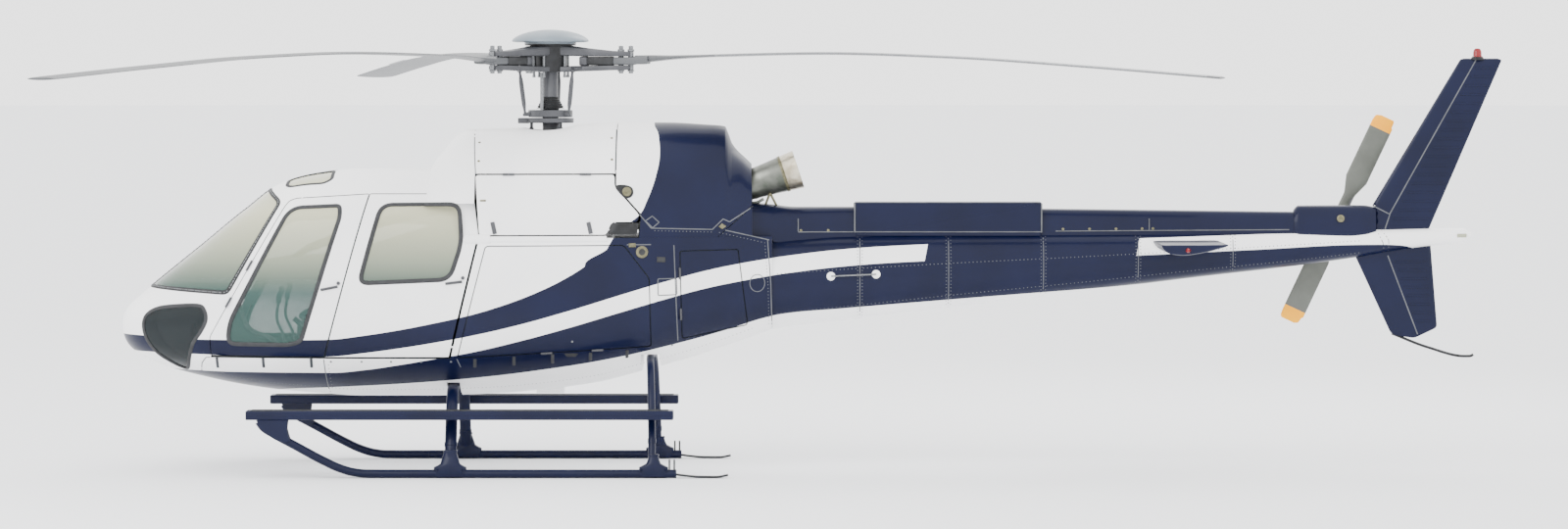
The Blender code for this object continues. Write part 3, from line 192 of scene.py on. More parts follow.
def finish(name, **sockets):
    """A Principled material with sockets set; returns it, its tree, shader and object coordinates."""
    made = bpy.data.materials.new(name)
    made.use_nodes = True
    tree = made.node_tree
    shader = tree.nodes["Principled BSDF"]
    for key, value in sockets.items():
        shader.inputs[key.replace("_", " ")].default_value = value
    place = node(tree, "ShaderNodeTexCoord").outputs["Object"]
    return made, tree, shader, place


def bump(tree, shader, height, strength, distance):
    """A height field on the shader's normal, its depth given in metres."""
    relief = node(tree, "ShaderNodeBump", {"Strength": strength, "Distance": distance}, {"Height": height})
    tree.links.new(relief.outputs["Normal"], shader.inputs["Normal"])


def mottle(tree, place, size, detail=3.0):
    """Noise whose blotches are about one size across, in metres."""
    return node(tree, "ShaderNodeTexNoise", {"Scale": 1.0 / size, "Detail": detail},
                {"Vector": place}).outputs["Fac"]


def two_tone(tree, share, dark, light, low=0.35, high=0.65):
    """A colour between two hex colours, by a share from 0 to 1."""
    ramp = node(tree, "ShaderNodeValToRGB", links={"Fac": share})
    ramp.color_ramp.elements[0].position, ramp.color_ramp.elements[0].color = low, hex_colour(dark)
    ramp.color_ramp.elements[1].position, ramp.color_ramp.elements[1].color = high, hex_colour(light)
    return ramp.outputs["Color"]


# %% [markdown]
# ## Paint
# The airframe is sheet metal and composite, sprayed white and navy in two-pack polyurethane under a clear
# coat: bright sharp reflections over an even colour. The bands' edges are smooth lines over the length, so
# each is a curve of height against x, and a place is navy or white by which lines it lies between.

# %% Band edges, read off the drawing as x and height above the ground
UPPER_TOP = ((-3.322, 1.077), (-2.713, 1.054), (-1.686, 1.062), (-1.409, 1.096), (-1.134, 1.14),
             (-0.86, 1.194), (-0.586, 1.255), (-0.403, 1.308), (-0.221, 1.37), (-0.039, 1.444),
             (0.143, 1.534), (0.324, 1.647), (0.476, 1.767), (0.627, 1.949))
COWL_EDGE = ((1.64, 0.3), (1.767, 0.476), (1.949, 0.627), (2.032, 0.725), (2.139, 0.78), (2.253, 0.825),
             (2.366, 0.857), (2.442, 0.872), (2.518, 0.877), (2.594, 0.871), (2.67, 0.857), (2.734, 0.827))
STRIPE_TOP = ((-3.33, 0.946), (-2.718, 0.938), (-2.34, 0.926), (-1.69, 0.928), (-1.412, 0.958),
              (-1.136, 0.996), (-0.861, 1.041), (-0.587, 1.092), (-0.221, 1.176), (0.143, 1.276),
              (0.628, 1.422), (0.932, 1.51), (1.237, 1.588), (1.543, 1.647), (1.851, 1.692), (2.315, 1.745),
              (2.934, 1.782), (4.02, 1.814), (4.649, 1.829), (5.575, 1.86), (6.511, 1.893), (6.9, 1.96),
              (7.4, 2.1))
STRIPE_LOW = ((-3.0, 0.805), (-2.447, 0.796), (-1.698, 0.796), (-1.419, 0.82), (-1.141, 0.862),
              (-0.864, 0.91), (-0.589, 0.96), (-0.222, 1.046), (0.143, 1.144), (0.628, 1.286),
              (0.932, 1.372), (1.237, 1.45), (1.543, 1.508), (1.851, 1.556), (2.314, 1.611), (2.933, 1.651),
              (4.017, 1.676), (4.622, 1.694), (5.57, 1.739), (6.504, 1.778), (6.75, 1.77), (6.96, 1.7),
              (7.4, 1.6))
LOWER_LOW = ((-3.0, 0.5), (-2.4, 0.59), (-2.101, 0.645), (-1.713, 0.672), (-1.153, 0.706), (-0.598, 0.752),
             (-0.047, 0.818), (0.472, 0.9), (0.93, 0.998), (1.389, 1.116), (1.696, 1.208), (1.851, 1.238),
             (2.315, 1.278), (2.935, 1.328), (3.711, 1.388), (4.335, 1.434), (4.804, 1.474), (5.3, 1.5),
             (7.4, 1.5))
STRIPE_BREAK = (2.97, 4.636)    # the white stripe stops and starts again, with ends that lean
BREAK_LEAN, BREAK_HEIGHT = 0.2, 1.7
UPPER_END, COWL_START = 0.62, 0.29    # where each of the upper band's two edges is asked, by x
SPAN_X, SPAN_H = (-3.6, 7.6), (0.0, 3.6)


# %% The paint
def share_of(tree, value, span):
    """A value's place in a span, from 0 to 1."""
    return node(tree, "ShaderNodeMapRange", {"From Min": span[0], "From Max": span[1]},
                {"Value": value}).outputs[0]


def line_height(tree, share, points, across, up):
    """A smooth line through points, read as a height over a share of the length."""
    curve = node(tree, "ShaderNodeFloatCurve", links={"Value": share})
    line = curve.mapping.curves[0]
    spots = [((a - across[0]) / (across[1] - across[0]), (b - up[0]) / (up[1] - up[0])) for a, b in points]
    spots = [(0.0, spots[0][1])] + spots + [(1.0, spots[-1][1])]
    line.points[0].location, line.points[1].location = spots[0], spots[-1]
    for spot in spots[1:-1]:
        line.points.new(*spot)
    for spot in line.points:
        spot.handle_type = "AUTO_CLAMPED"
    curve.mapping.update()
    return curve.outputs[0]


def compare(tree, how, first, second):
    """A math node between two values or sockets."""
    made = node(tree, "ShaderNodeMath", {"operation": how})
    for socket, value in zip(made.inputs, (first, second)):
        if isinstance(value, (int, float)):
            socket.default_value = value
        else:
            tree.links.new(value, socket)
    return made.outputs[0]


def band_mask(tree, place):
    """1 where the bands are navy: between the lines above, and in the break of the white stripe."""
    parts = node(tree, "ShaderNodeSeparateXYZ", links={"Vector": place})
    x = parts.outputs["X"]
    height = compare(tree, "SUBTRACT", parts.outputs["Z"], GROUND)
    across, up = share_of(tree, x, SPAN_X), share_of(tree, height, SPAN_H)
    below = compare(tree, "LESS_THAN", up, line_height(tree, across, UPPER_TOP, SPAN_X, SPAN_H))
    behind = compare(tree, "GREATER_THAN", across, line_height(tree, up, COWL_EDGE, SPAN_H, SPAN_X))
    ahead = compare(tree, "MINIMUM", below, compare(tree, "LESS_THAN", x, UPPER_END))
    after = compare(tree, "MINIMUM", behind, compare(tree, "GREATER_THAN", x, COWL_START))
    upper = compare(tree, "MAXIMUM", ahead, after)
    over_stripe = compare(tree, "GREATER_THAN", up, line_height(tree, across, STRIPE_TOP, SPAN_X, SPAN_H))
    under_stripe = compare(tree, "LESS_THAN", up, line_height(tree, across, STRIPE_LOW, SPAN_X, SPAN_H))
    over_belly = compare(tree, "GREATER_THAN", up, line_height(tree, across, LOWER_LOW, SPAN_X, SPAN_H))
    above = compare(tree, "SUBTRACT", height, BREAK_HEIGHT)
    lean = compare(tree, "SUBTRACT", x, compare(tree, "MULTIPLY", above, BREAK_LEAN))
    gap = compare(tree, "MINIMUM", compare(tree, "GREATER_THAN", lean, STRIPE_BREAK[0]),
                  compare(tree, "LESS_THAN", lean, STRIPE_BREAK[1]))
    gap = compare(tree, "MINIMUM", gap, over_belly)
    high = compare(tree, "MINIMUM", upper, over_stripe)
    low = compare(tree, "MINIMUM", under_stripe, over_belly)
    return compare(tree, "MAXIMUM", compare(tree, "MAXIMUM", high, low), gap)


def painted(name, navy):
    """Two-pack paint: navy is True, False or, for the banded airframe, None."""
    made, tree, shader, place = finish(name, Roughness=0.36, IOR=1.5, Specular_IOR_Level=0.14,
                                       Coat_Weight=0.14, Coat_Roughness=0.07)
    shade = mottle(tree, place, 0.45)
    white = two_tone(tree, shade, "#FAFAFB", "#FFFFFF")
    blue = two_tone(tree, shade, "#040A26", "#070E2C")
    if navy is None:
        mixed = node(tree, "ShaderNodeMix", {"data_type": "RGBA"},
                     {0: band_mask(tree, place), 6: white, 7: blue})
        colour = mixed.outputs[2]
    else:
        colour = blue if navy else white
    tree.links.new(colour, shader.inputs["Base Color"])
    # sheet metal is never quite flat: waves about 0.25 m long and a third of a millimetre high
    bump(tree, shader, mottle(tree, place, 0.25, 1.0), 0.35, 0.0004)
    return made


banded_paint = painted("two_pack_paint_banded", None)
navy_paint = painted("two_pack_paint_navy", True)
white_paint = painted("two_pack_paint_white", False)

# %% [markdown]
# ## Other finishes
# Each starts from what the real piece is made of and how its surface was made.


# %% Rubber, plastic, metal and glass
def plain(name, dark, light, size, rough, metal=0.0, grain=0.0, grain_size=0.002, **sockets):
    """A finish with a colour that drifts over a size, and a grain of a depth and size."""
    made, tree, shader, place = finish(name, Roughness=rough, Metallic=metal, **sockets)
    tree.links.new(two_tone(tree, mottle(tree, place, size), dark, light), shader.inputs["Base Color"])
    if grain:
        bump(tree, shader, mottle(tree, place, grain_size, 2.0), 0.6, grain)
    return made


# moulded EPDM rubber: matt, with a faint bloom
seal_rubber = plain("moulded_epdm_rubber", "#232426", "#2D2E31", 0.05, 0.72, grain=0.0002, grain_size=0.004)
black_rubber = plain("moulded_black_rubber", "#17181A", "#242527", 0.05, 0.7, grain=0.0002, grain_size=0.004)
# grained ABS lining, grain 3 mm so that it shows
lining = plain("grained_abs_lining", "#30373B", "#3D4448", 0.3, 0.6, grain=0.0003, grain_size=0.003)
dark_plastic = plain("grained_abs_dark", "#1C1F22", "#2A2D30", 0.2, 0.55, grain=0.0003, grain_size=0.003)
# satin epoxy over glass-fibre blades and forged parts
blade_paint = plain("satin_epoxy_grey", "#45474A", "#515356", 0.4, 0.42, grain=0.0001, grain_size=0.01)
hub_paint = plain("satin_epoxy_dark_grey", "#3C3D41", "#48494D", 0.15, 0.42, 0.25, grain=0.0001,
                  grain_size=0.006)
dome_paint = plain("satin_epoxy_pale_grey", "#69747D", "#7A858D", 0.25, 0.35)
tail_paint = plain("satin_epoxy_olive_grey", "#545750", "#60635C", 0.2, 0.42)
yellow_paint = plain("two_pack_paint_yellow", "#FFA800", "#FFB200", 0.15, 0.35, Specular_IOR_Level=0.2)
# zinc-plated steel fasteners
zinc = plain("zinc_plated_steel", "#6C6E70", "#86888B", 0.01, 0.38, 0.8)
# stainless steel that heat has browned
hot_steel = plain("heat_stained_steel", "#5C6058", "#7E8079", 0.12, 0.36, 0.85, grain=0.0003,
                  grain_size=0.008)
tan_steel = plain("straw_stained_steel", "#A59A84", "#D2CCB8", 0.08, 0.28, 0.9)
soot = plain("soot_on_steel", "#0E0E0F", "#191A1B", 0.05, 0.85)
black_anodised = plain("black_anodised_aluminium", "#131416", "#1E1F22", 0.05, 0.38, 0.4)
olive_metal = plain("cadmium_plated_steel", "#5E5B45", "#77735A", 0.02, 0.4, 0.7)
belt_web = plain("woven_polyester_web", "#23262B", "#33373D", 0.01, 0.75, grain=0.0006, grain_size=0.004)


def glazing_with_painted_reflection(name, low, high, clear, dense):
    """Tinted acrylic, clear low where the cabin shows and dense up high; its cream top is a painted sky
    reflection.
    """
    made, tree, shader, place = finish(name, Roughness=0.03, IOR=1.49, Specular_IOR_Level=0.35)
    height = node(tree, "ShaderNodeSeparateXYZ", links={"Vector": place}).outputs["Z"]
    rise = node(tree, "ShaderNodeMapRange", {"From Min": 0.6, "From Max": 1.5},
                {"Value": height}).outputs["Result"]
    # painted sky reflection: the colour turns from the tint low down to the paler colour up high
    tree.links.new(two_tone(tree, rise, low, high, 0.25, 0.95), shader.inputs["Base Color"])
    body = node(tree, "ShaderNodeMapRange", {"From Min": 0.1, "From Max": 0.5, "To Min": clear,
                                             "To Max": dense}, {"Value": rise}).outputs["Result"]
    tree.links.new(body, shader.inputs["Alpha"])
    return made


# the cream top of the clear sheet and the lighter top of the smoked sheet are painted reflections of the sky
acrylic_with_painted_reflection = glazing_with_painted_reflection("cast_acrylic_painted_reflection", "#3E5A55", "#C3C2A6", 0.45, 0.85)
smoked_with_painted_reflection = glazing_with_painted_reflection("smoked_acrylic_painted_reflection", "#071418", "#12252A", 0.74, 0.82)
sealant = plain("polysulphide_joint_sealant", "#4C4E52", "#5A5C60", 0.1, 0.6)

# %% [markdown]
# ## The fuselage's form
# The cabin is a row of superellipses: |y/w|^p + |z/r|^p = 1, with p = 2.6, rounder than a box and squarer
# than a circle. Its top, bottom, width and waist are lines over the length, made smooth by cubics that never
# overshoot their points. The same tables made the solids, so the skins lie where the solids lie.


# %% Smooth lines
def smooth_line(xs, ys):
    """Monotone cubic: each knot's slope is a weighted harmonic mean of its neighbours', or 0 at a turn."""
    xs, ys = np.asarray(xs, float), np.asarray(ys, float)
    step = np.diff(xs)
    slope = np.diff(ys) / step
    a, b = 2 * step[1:] + step[:-1], step[1:] + 2 * step[:-1]
    turns = slope[:-1] * slope[1:] <= 0
    safe = np.where(turns, 1.0, slope[:-1]), np.where(turns, 1.0, slope[1:])
    inner = np.where(turns, 0.0, (a + b) / (a / safe[0] + b / safe[1]))
    bend = np.concatenate([[slope[0]], inner, [slope[-1]]])

    def value(x):
        x = np.clip(x, xs[0], xs[-1])
        i = np.clip(np.searchsorted(xs, x) - 1, 0, len(xs) - 2)
        t = (x - xs[i]) / step[i]
        start = (1 + 2 * t) * (1 - t) ** 2 * ys[i] + t * (1 - t) ** 2 * step[i] * bend[i]
        return start + t * t * (3 - 2 * t) * ys[i + 1] + t * t * (t - 1) * step[i] * bend[i + 1]

    return value


def curve_through(points, count):
    """A smooth path through points: each coordinate is a monotone cubic of the length along the chords."""
    points = np.asarray(points, float)
    length = np.concatenate([[0.0], np.cumsum(np.linalg.norm(np.diff(points, axis=0), axis=1))])
    spots = np.linspace(0.0, length[-1], count)
    return np.stack([smooth_line(length, points[:, k])(spots) for k in range(points.shape[1])], -1)


# %% The lines of cabin, cowling and boom
NOSE_X, HULL_END, HULL_POWER, BOOM_POWER = -3.394, 1.757, 2.6, 2.3
SKIN, COWL_SKIN, DECK, FLOOR = 0.028, 0.018, 1.85, 0.912
CABIN = np.array(((-3.394, 1.143, 1.143, 0.0, 1.143), (-3.344, 1.291, 0.988, 0.215, 1.146),
                  (-3.25, 1.376, 0.91, 0.36, 1.152), (-3.064, 1.532, 0.824, 0.515, 1.165),
                  (-2.784, 1.757, 0.747, 0.66, 1.19), (-2.411, 2.061, 0.669, 0.775, 1.23),
                  (-2.131, 2.263, 0.63, 0.835, 1.26), (-1.851, 2.341, 0.607, 0.877, 1.285),
                  (-1.477, 2.379, 0.583, 0.91, 1.3), (-0.949, 2.379, 0.583, 0.925, 1.305),
                  (-0.451, 2.372, 0.599, 0.915, 1.31), (0.016, 2.355, 0.638, 0.88, 1.322),
                  (0.389, 2.325, 0.692, 0.825, 1.338), (0.762, 2.275, 0.789, 0.74, 1.365),
                  (1.073, 2.22, 0.871, 0.63, 1.4), (1.384, 2.15, 0.972, 0.5, 1.44),
                  (1.757, 2.05, 1.104, 0.345, 1.49)))
COWL_TOP = np.array((
    (-0.941, 2.372), (-0.918, 2.426), (-0.824, 2.543), (-0.731, 2.652), (-0.638, 2.691), (-0.544, 2.698),
    (-0.171, 2.706), (0.202, 2.729), (0.607, 2.745), (0.918, 2.745), (1.229, 2.729), (1.384, 2.714),
    (1.41, 2.66), (1.44, 2.58), (1.555, 2.455), (1.6, 2.412)))
BOOM = np.array((
    (1.758, 1.85, 1.104, 0.33), (1.851, 1.851, 1.12, 0.318), (2.317, 1.866, 1.174, 0.285),
    (3.25, 1.872, 1.291, 0.248), (4.184, 1.874, 1.4, 0.212), (5.117, 1.878, 1.516, 0.176),
    (5.894, 1.893, 1.606, 0.147), (6.376, 1.897, 1.672, 0.126), (6.967, 1.903, 1.765, 0.092),
    (7.255, 1.905, 1.792, 0.066), (7.302, 1.872, 1.83, 0.03)))
SPINE = np.array((
    (1.6, 2.11, 0.24), (1.76, 2.095, 0.2), (1.944, 2.076, 0.165), (2.4, 2.076, 0.128),
    (3.9, 2.061, 0.108), (5.89, 2.037, 0.088)))
root = np.sqrt(CABIN[:, 0] - NOSE_X)
cabin_lines = [smooth_line(root, CABIN[:, k]) for k in (1, 2, 3, 4)]
cowl_top = smooth_line(COWL_TOP[:, 0], COWL_TOP[:, 1])
boom_lines = [smooth_line(BOOM[:, 0], BOOM[:, k]) for k in (1, 2, 3)]
spine_lines = [smooth_line(SPINE[:, 0], SPINE[:, k]) for k in (1, 2)]


# %% Sections of cabin, cowling and boom
def hull_section(x):
    """Top, bottom, half width and waist height of the cabin at x."""
    s = np.sqrt(np.maximum(np.asarray(x, float) - NOSE_X, 0.0))
    return [line(s) for line in cabin_lines]


def hull_side(x, height):
    """Half width of the cabin's skin: w (1 - |h/r|^p)^(1/p)."""
    top, bottom, half, waist = hull_section(x)
    reach = np.where(height > waist, top - waist, waist - bottom)
    share = np.clip(np.abs(height - waist) / np.maximum(reach, 1e-6), 0.0, 1.0)
    return half * (1 - share ** HULL_POWER) ** (1 / HULL_POWER)


def cowl_side(x, height):
    """Half width of the cowling: an ellipse that stands on the deck."""
    share = np.clip((height - DECK) / (cowl_top(x) - DECK), -1.0, 1.0)
    return hull_side(x, DECK) * np.sqrt(1 - share ** 2)


def boom_side(x, height):
    """Half width of the boom, a superellipse of power 2.3."""
    top, bottom, half = (line(x) for line in boom_lines)
    share = np.clip(np.abs(height - (top + bottom) / 2) / ((top - bottom) / 2), 0.0, 1.0)
    return half * (1 - share ** BOOM_POWER) ** (1 / BOOM_POWER)


def superellipse(angle, power):
    """Points (cos|cos|^(2/p-1), sin|sin|^(2/p-1)) of the unit superellipse."""
    c, s = np.cos(angle), np.sin(angle)
    return np.sign(c) * np.abs(c) ** (2 / power), np.sign(s) * np.abs(s) ** (2 / power)


def hull_solid(name, inset=0.0, rings=150, sides=112):
    """The cabin as one closed solid, drawn in by an inset; x grows as a steady step squared."""
    x = NOSE_X + np.linspace(0.014, math.sqrt(HULL_END - NOSE_X), rings) ** 2
    top, bottom, half, waist = hull_section(x)
    top, bottom, half = top - inset, bottom + inset, half - inset
    keep = np.minimum(half, np.minimum(top - waist, waist - bottom)) > 0.004
    x, top, bottom, half, waist = (v[keep][:, None] for v in (x, top, bottom, half, waist))
    c, s = superellipse(2 * np.pi * (np.arange(sides) + 0.5) / sides, HULL_POWER)
    height = waist + np.where(s > 0, top - waist, waist - bottom) * s
    rings = points_at(x, half * c, height)
    if inset > 0:
        rings = np.concatenate([rings, rings[-1:] + (0.05, 0.0, 0.0)])
    return loft(name, rings)


def cowl_solid(name, inset=0.0, rings=110, sides=72):
    """The cowling's round top over the deck as one closed solid."""
    x = np.unique(np.concatenate([np.linspace(-0.941, 1.6, rings), COWL_TOP[:, 0]]))[:, None]
    angle = np.linspace(0.0, np.pi, sides + 1)[None, :]
    half, rise = hull_side(x, DECK) - inset, cowl_top(x) - inset - DECK
    y, height = half * np.cos(angle), DECK + rise * np.sin(angle)
    y = np.concatenate([half, y, -half], 1)
    height = np.concatenate([0 * x + DECK - 0.05, height, 0 * x + DECK - 0.05], 1)
    rings = points_at(x, y, height)
    if inset > 0:
        rings = np.concatenate([rings, rings[-1:] + (0.05, 0.0, 0.0)])
    return loft(name, rings)


def boom_solid(name, rings=90, sides=64):
    """The tail boom as one closed solid."""
    x = np.linspace(1.758, 7.302, rings)[:, None]
    top, bottom, half = (line(x) for line in boom_lines)
    c, s = superellipse(2 * np.pi * (np.arange(sides) + 0.5) / sides, BOOM_POWER)
    height = (top + bottom) / 2 + (top - bottom) / 2 * s
    return loft(name, points_at(x, half * c, height))


print("cabin width m:", round(2 * float(hull_section(-0.949)[2]), 3))

# %% [markdown]
# ## Cutting the skins
# A wall, a door and a pane are all one skin, cut by outlines in the side view as a fitter cuts sheet metal.
# Each solid is cut with the Manifold solver, which is quick on closed meshes. The cut faces' normals are
# then taken from the formula of the form, so that paint reflects as on one unbroken surface.


# %% Outlines
def rounded(outline, radius, steps=7):
    """Corners rounded by (1-t)^2 a + 2t(1-t) corner + t^2 b, where a and b lie a radius along the edges."""
    corner = np.asarray(outline, float)
    before, after = np.roll(corner, 1, 0) - corner, np.roll(corner, -1, 0) - corner
    back, ahead = np.linalg.norm(before, axis=1)[:, None], np.linalg.norm(after, axis=1)[:, None]
    cut = np.minimum(radius, 0.45 * np.minimum(back, ahead))
    start, end = (corner + before / back * cut)[:, None], (corner + after / ahead * cut)[:, None]
    t = np.linspace(0, 1, steps)[None, :, None]
    return ((1 - t) ** 2 * start + 2 * t * (1 - t) * corner[:, None] + t * t * end).reshape(-1, 2)


def smooth_loop(points, count=12):
    """A closed Catmull-Rom loop: the slope at a point is half the step between its neighbours."""
    p = np.asarray(points, float)[:, None]
    q, before, after = np.roll(p, -1, 0), np.roll(p, 1, 0), np.roll(p, -2, 0)
    t = np.linspace(0, 1, count, endpoint=False)[None, :, None]
    first, last = (q - before) / 2, (after - p) / 2
    curve = ((2 * t ** 3 - 3 * t ** 2 + 1) * p + (t ** 3 - 2 * t ** 2 + t) * first
             + (3 * t ** 2 - 2 * t ** 3) * q + (t ** 3 - t ** 2) * last)
    return curve.reshape(-1, p.shape[-1])


def grown(outline, amount):
    """Each corner moved along the sum of its edges' outward normals, far enough to move both edges."""
    p = np.asarray(outline, float)
    edge = np.roll(p, -1, 0) - p
    edge = unit(edge)
    turn = np.sign(np.sum(p[:, 0] * np.roll(p, -1, 0)[:, 1] - p[:, 1] * np.roll(p, -1, 0)[:, 0]))
    normal = np.stack([edge[:, 1], -edge[:, 0]], 1) * turn
    both = normal + np.roll(normal, 1, 0)
    both /= np.maximum((both * normal).sum(1), 0.5)[:, None]
    return p + both * amount


def spread(points, step, closed=True):
    """Points set about one step apart along a line of straight pieces."""
    p = np.asarray(points, float)
    if closed:
        p = np.concatenate([p, p[:1]])
    length = np.concatenate([[0.0], np.cumsum(np.linalg.norm(np.diff(p, axis=0), axis=1))])
    spots = np.linspace(0, length[-1], max(3, round(length[-1] / step) + 1))
    spots = np.unique(np.concatenate([spots, length]).round(5))
    spots = spots[np.concatenate([[True], np.diff(spots) > step * 0.2])]
    made = np.stack([np.interp(spots, length, p[:, k]) for k in range(p.shape[1])], -1)
    return made[:-1] if closed else made


# %% Prisms and cuts
def prism(name, outline, low, high, upward=False):
    """An outline in x and height carried across from low to high, or in x and y carried upwards."""
    p = np.asarray(outline, float)
    if upward:
        return loft(name, [points_at(p[:, 0], p[:, 1], end) for end in (low, high)])
    return loft(name, [points_at(p[:, 0], end, p[:, 1]) for end in (low, high)])


def side_prism(outline, side, inner=0.02, outer=1.4):
    """A prism through the port side (-1), the starboard side (1) or both (0)."""
    low, high = (-outer, outer) if side == 0 else sorted((side * inner, side * outer))
    return prism("cut", outline, low, high)


def carve(piece, tool, how="DIFFERENCE"):
    """Cuts, crosses or joins a closed piece with a closed tool, and removes the tool."""
    step = piece.modifiers.new("carve", "BOOLEAN")
    step.operation, step.solver, step.object = how, "MANIFOLD", tool
    made = bpy.data.meshes.new_from_object(piece.evaluated_get(bpy.context.evaluated_depsgraph_get()))
    piece.modifiers.clear()
    piece.data = made
    bpy.data.objects.remove(tool)
    return piece


def skin(name, outline, side, body=hull_solid, thickness=SKIN):
    """A skin inside an outline: the body inside the prism, less the body drawn in by the thickness."""
    piece = carve(body(name), side_prism(outline, side), "INTERSECT")
    return carve(piece, body("inner", thickness))


# %% Exact normals
def hull_level(p):
    """|y/w|^p + |z/r|^p, which is 1 on the skin."""
    top, bottom, half, waist = hull_section(p[:, 0])
    height = p[:, 2] - GROUND
    reach = np.where(height > waist, top - waist, waist - bottom)
    across, up = np.abs(p[:, 1]) / np.maximum(half, 1e-3), np.abs(height - waist) / np.maximum(reach, 1e-3)
    return across ** HULL_POWER + up ** HULL_POWER


def cowl_level(p):
    """(y/w)^2 + (z/r)^2 of the cowling's ellipse."""
    height = p[:, 2] - GROUND
    return (p[:, 1] / hull_side(p[:, 0], DECK)) ** 2 + ((height - DECK) / (cowl_top(p[:, 0]) - DECK)) ** 2


def boom_level(p):
    """|y/w|^2.3 + |z/r|^2.3 of the boom."""
    top, bottom, half = (line(p[:, 0]) for line in boom_lines)
    height = p[:, 2] - GROUND
    up = np.abs(height - (top + bottom) / 2) / ((top - bottom) / 2)
    return (np.abs(p[:, 1]) / half) ** BOOM_POWER + up ** BOOM_POWER


def slope(level, points):
    """Outward normals: the level's gradient by central differences over 0.2 mm, scaled to length 1."""
    points = np.asarray(points, float)
    steps = np.eye(3) * 1e-4
    gradient = np.stack([level(points + step) - level(points - step) for step in steps], -1)
    return gradient / np.maximum(np.linalg.norm(gradient, axis=-1), 1e-9)[:, None]


DEEP = 0.94    # a level below this is no longer the skin's outside


def true_shade(piece, level=hull_level):
    """The form's own normals, reversed inside. Faces inside or deep down take the second finish."""
    mesh = piece.data
    spots, faces = np.empty(len(mesh.vertices) * 3), np.empty(len(mesh.polygons) * 3)
    corner = np.empty(len(mesh.loops), np.int32)
    count = np.empty(len(mesh.polygons), np.int32)
    mesh.vertices.foreach_get("co", spots)
    mesh.polygons.foreach_get("normal", faces)
    mesh.loops.foreach_get("vertex_index", corner)
    mesh.polygons.foreach_get("loop_total", count)
    face = np.repeat(np.arange(len(count)), count)
    flat = faces.reshape(-1, 3)[face]
    exact = slope(level, spots.reshape(-1, 3))[corner]
    facing = np.einsum("ij,ij->i", flat, exact)
    shaded = np.where(np.abs(facing)[:, None] > 0.8, exact * np.sign(facing)[:, None], flat)
    depth = level(spots.reshape(-1, 3))[corner]
    inside = np.bincount(face, facing, len(count)) < -0.5 * count
    inside |= np.bincount(face, depth, len(count)) < DEEP * count
    mesh.polygons.foreach_set("material_index", inside.astype(np.int32))
    mesh.shade_smooth()
    mesh.normals_split_custom_set(shaded.tolist())
    return piece


# %% [markdown]
# ## Nose, roof, belly and centre
# The outlines are those of the openings in the drawing. Corners get the radius of the real rubber seals.

# %% The outlines of doors and windows, x and height
DOOR_GAP, HATCH_GAP, GLASS, GLASS_SINK = 0.006, 0.008, 0.005, 0.004
FRONT_DOOR = rounded(((-2.053, 2.099), (-2.02, 2.14), (-1.964, 2.16), (-1.387, 2.196), (-1.731, 0.922),
                      (-2.632, 0.926), (-2.637, 1.077)), 0.02)
FRONT_WINDOW = rounded(((-2.016, 2.098), (-1.604, 2.118), (-1.596, 2.018), (-1.9, 1.035), (-2.01, 1.005),
                        (-2.505, 1.01), (-2.49, 1.19)), 0.11, 10)
REAR_DOOR = rounded(((-1.387, 2.196), (-0.569, 2.196), (-0.523, 1.886), (-0.756, 0.92), (-1.732, 0.92)),
                    0.015)
REAR_WINDOW = rounded(((-1.3, 2.124), (-0.664, 2.13), (-0.643, 1.812), (-0.738, 1.52), (-1.47, 1.488)), 0.1,
                      10)
BAGGAGE_DOOR = rounded(((-0.474, 1.794), (0.604, 1.797), (0.803, 1.536), (0.816, 0.996), (-0.697, 0.916)),
                       0.03)
HOLD_DOOR = rounded(((1.033, 1.748), (1.493, 1.755), (1.567, 1.176), (1.557, 1.15), (1.061, 1.054),
                     (1.049, 1.071)), 0.02)
WINDSCREEN = rounded(((-3.25, 1.46), (-2.491, 1.415), (-2.088, 2.129), (-2.24, 2.25), (-3.25, 2.25)), 0.045)
CHIN_WINDOW = smooth_loop(((-3.186, 1.148), (-3.161, 1.233), (-3.07, 1.289), (-2.921, 1.313), (-2.728, 1.32),
                           (-2.676, 1.283), (-2.664, 1.207), (-2.704, 1.122), (-2.769, 1.028),
                           (-2.803, 0.933), (-2.832, 0.83), (-2.868, 0.816), (-2.964, 0.862), (-3.077, 0.94),
                           (-3.154, 1.04)), 6)
ROOF_WINDOW = rounded(((-2.06, 0.1), (-1.7, 0.1), (-1.7, 0.42), (-1.76, 0.47), (-2.06, 0.4)), 0.09)
COWL_DOOR = rounded(((-0.562, 2.346), (0.532, 2.346), (0.532, 2.251), (0.727, 2.031), (0.712, 1.969),
                     (0.509, 1.969), (0.47, 1.871), (-0.526, 1.871)), 0.03)
SIDES = ((-1, "left", "port"), (1, "right", "starboard"))

# %% [markdown]
# The nose and the roof are thin shells, cut for the doors and windows. The belly and the centre fuselage are
# solid but for the lockers and the hold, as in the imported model.

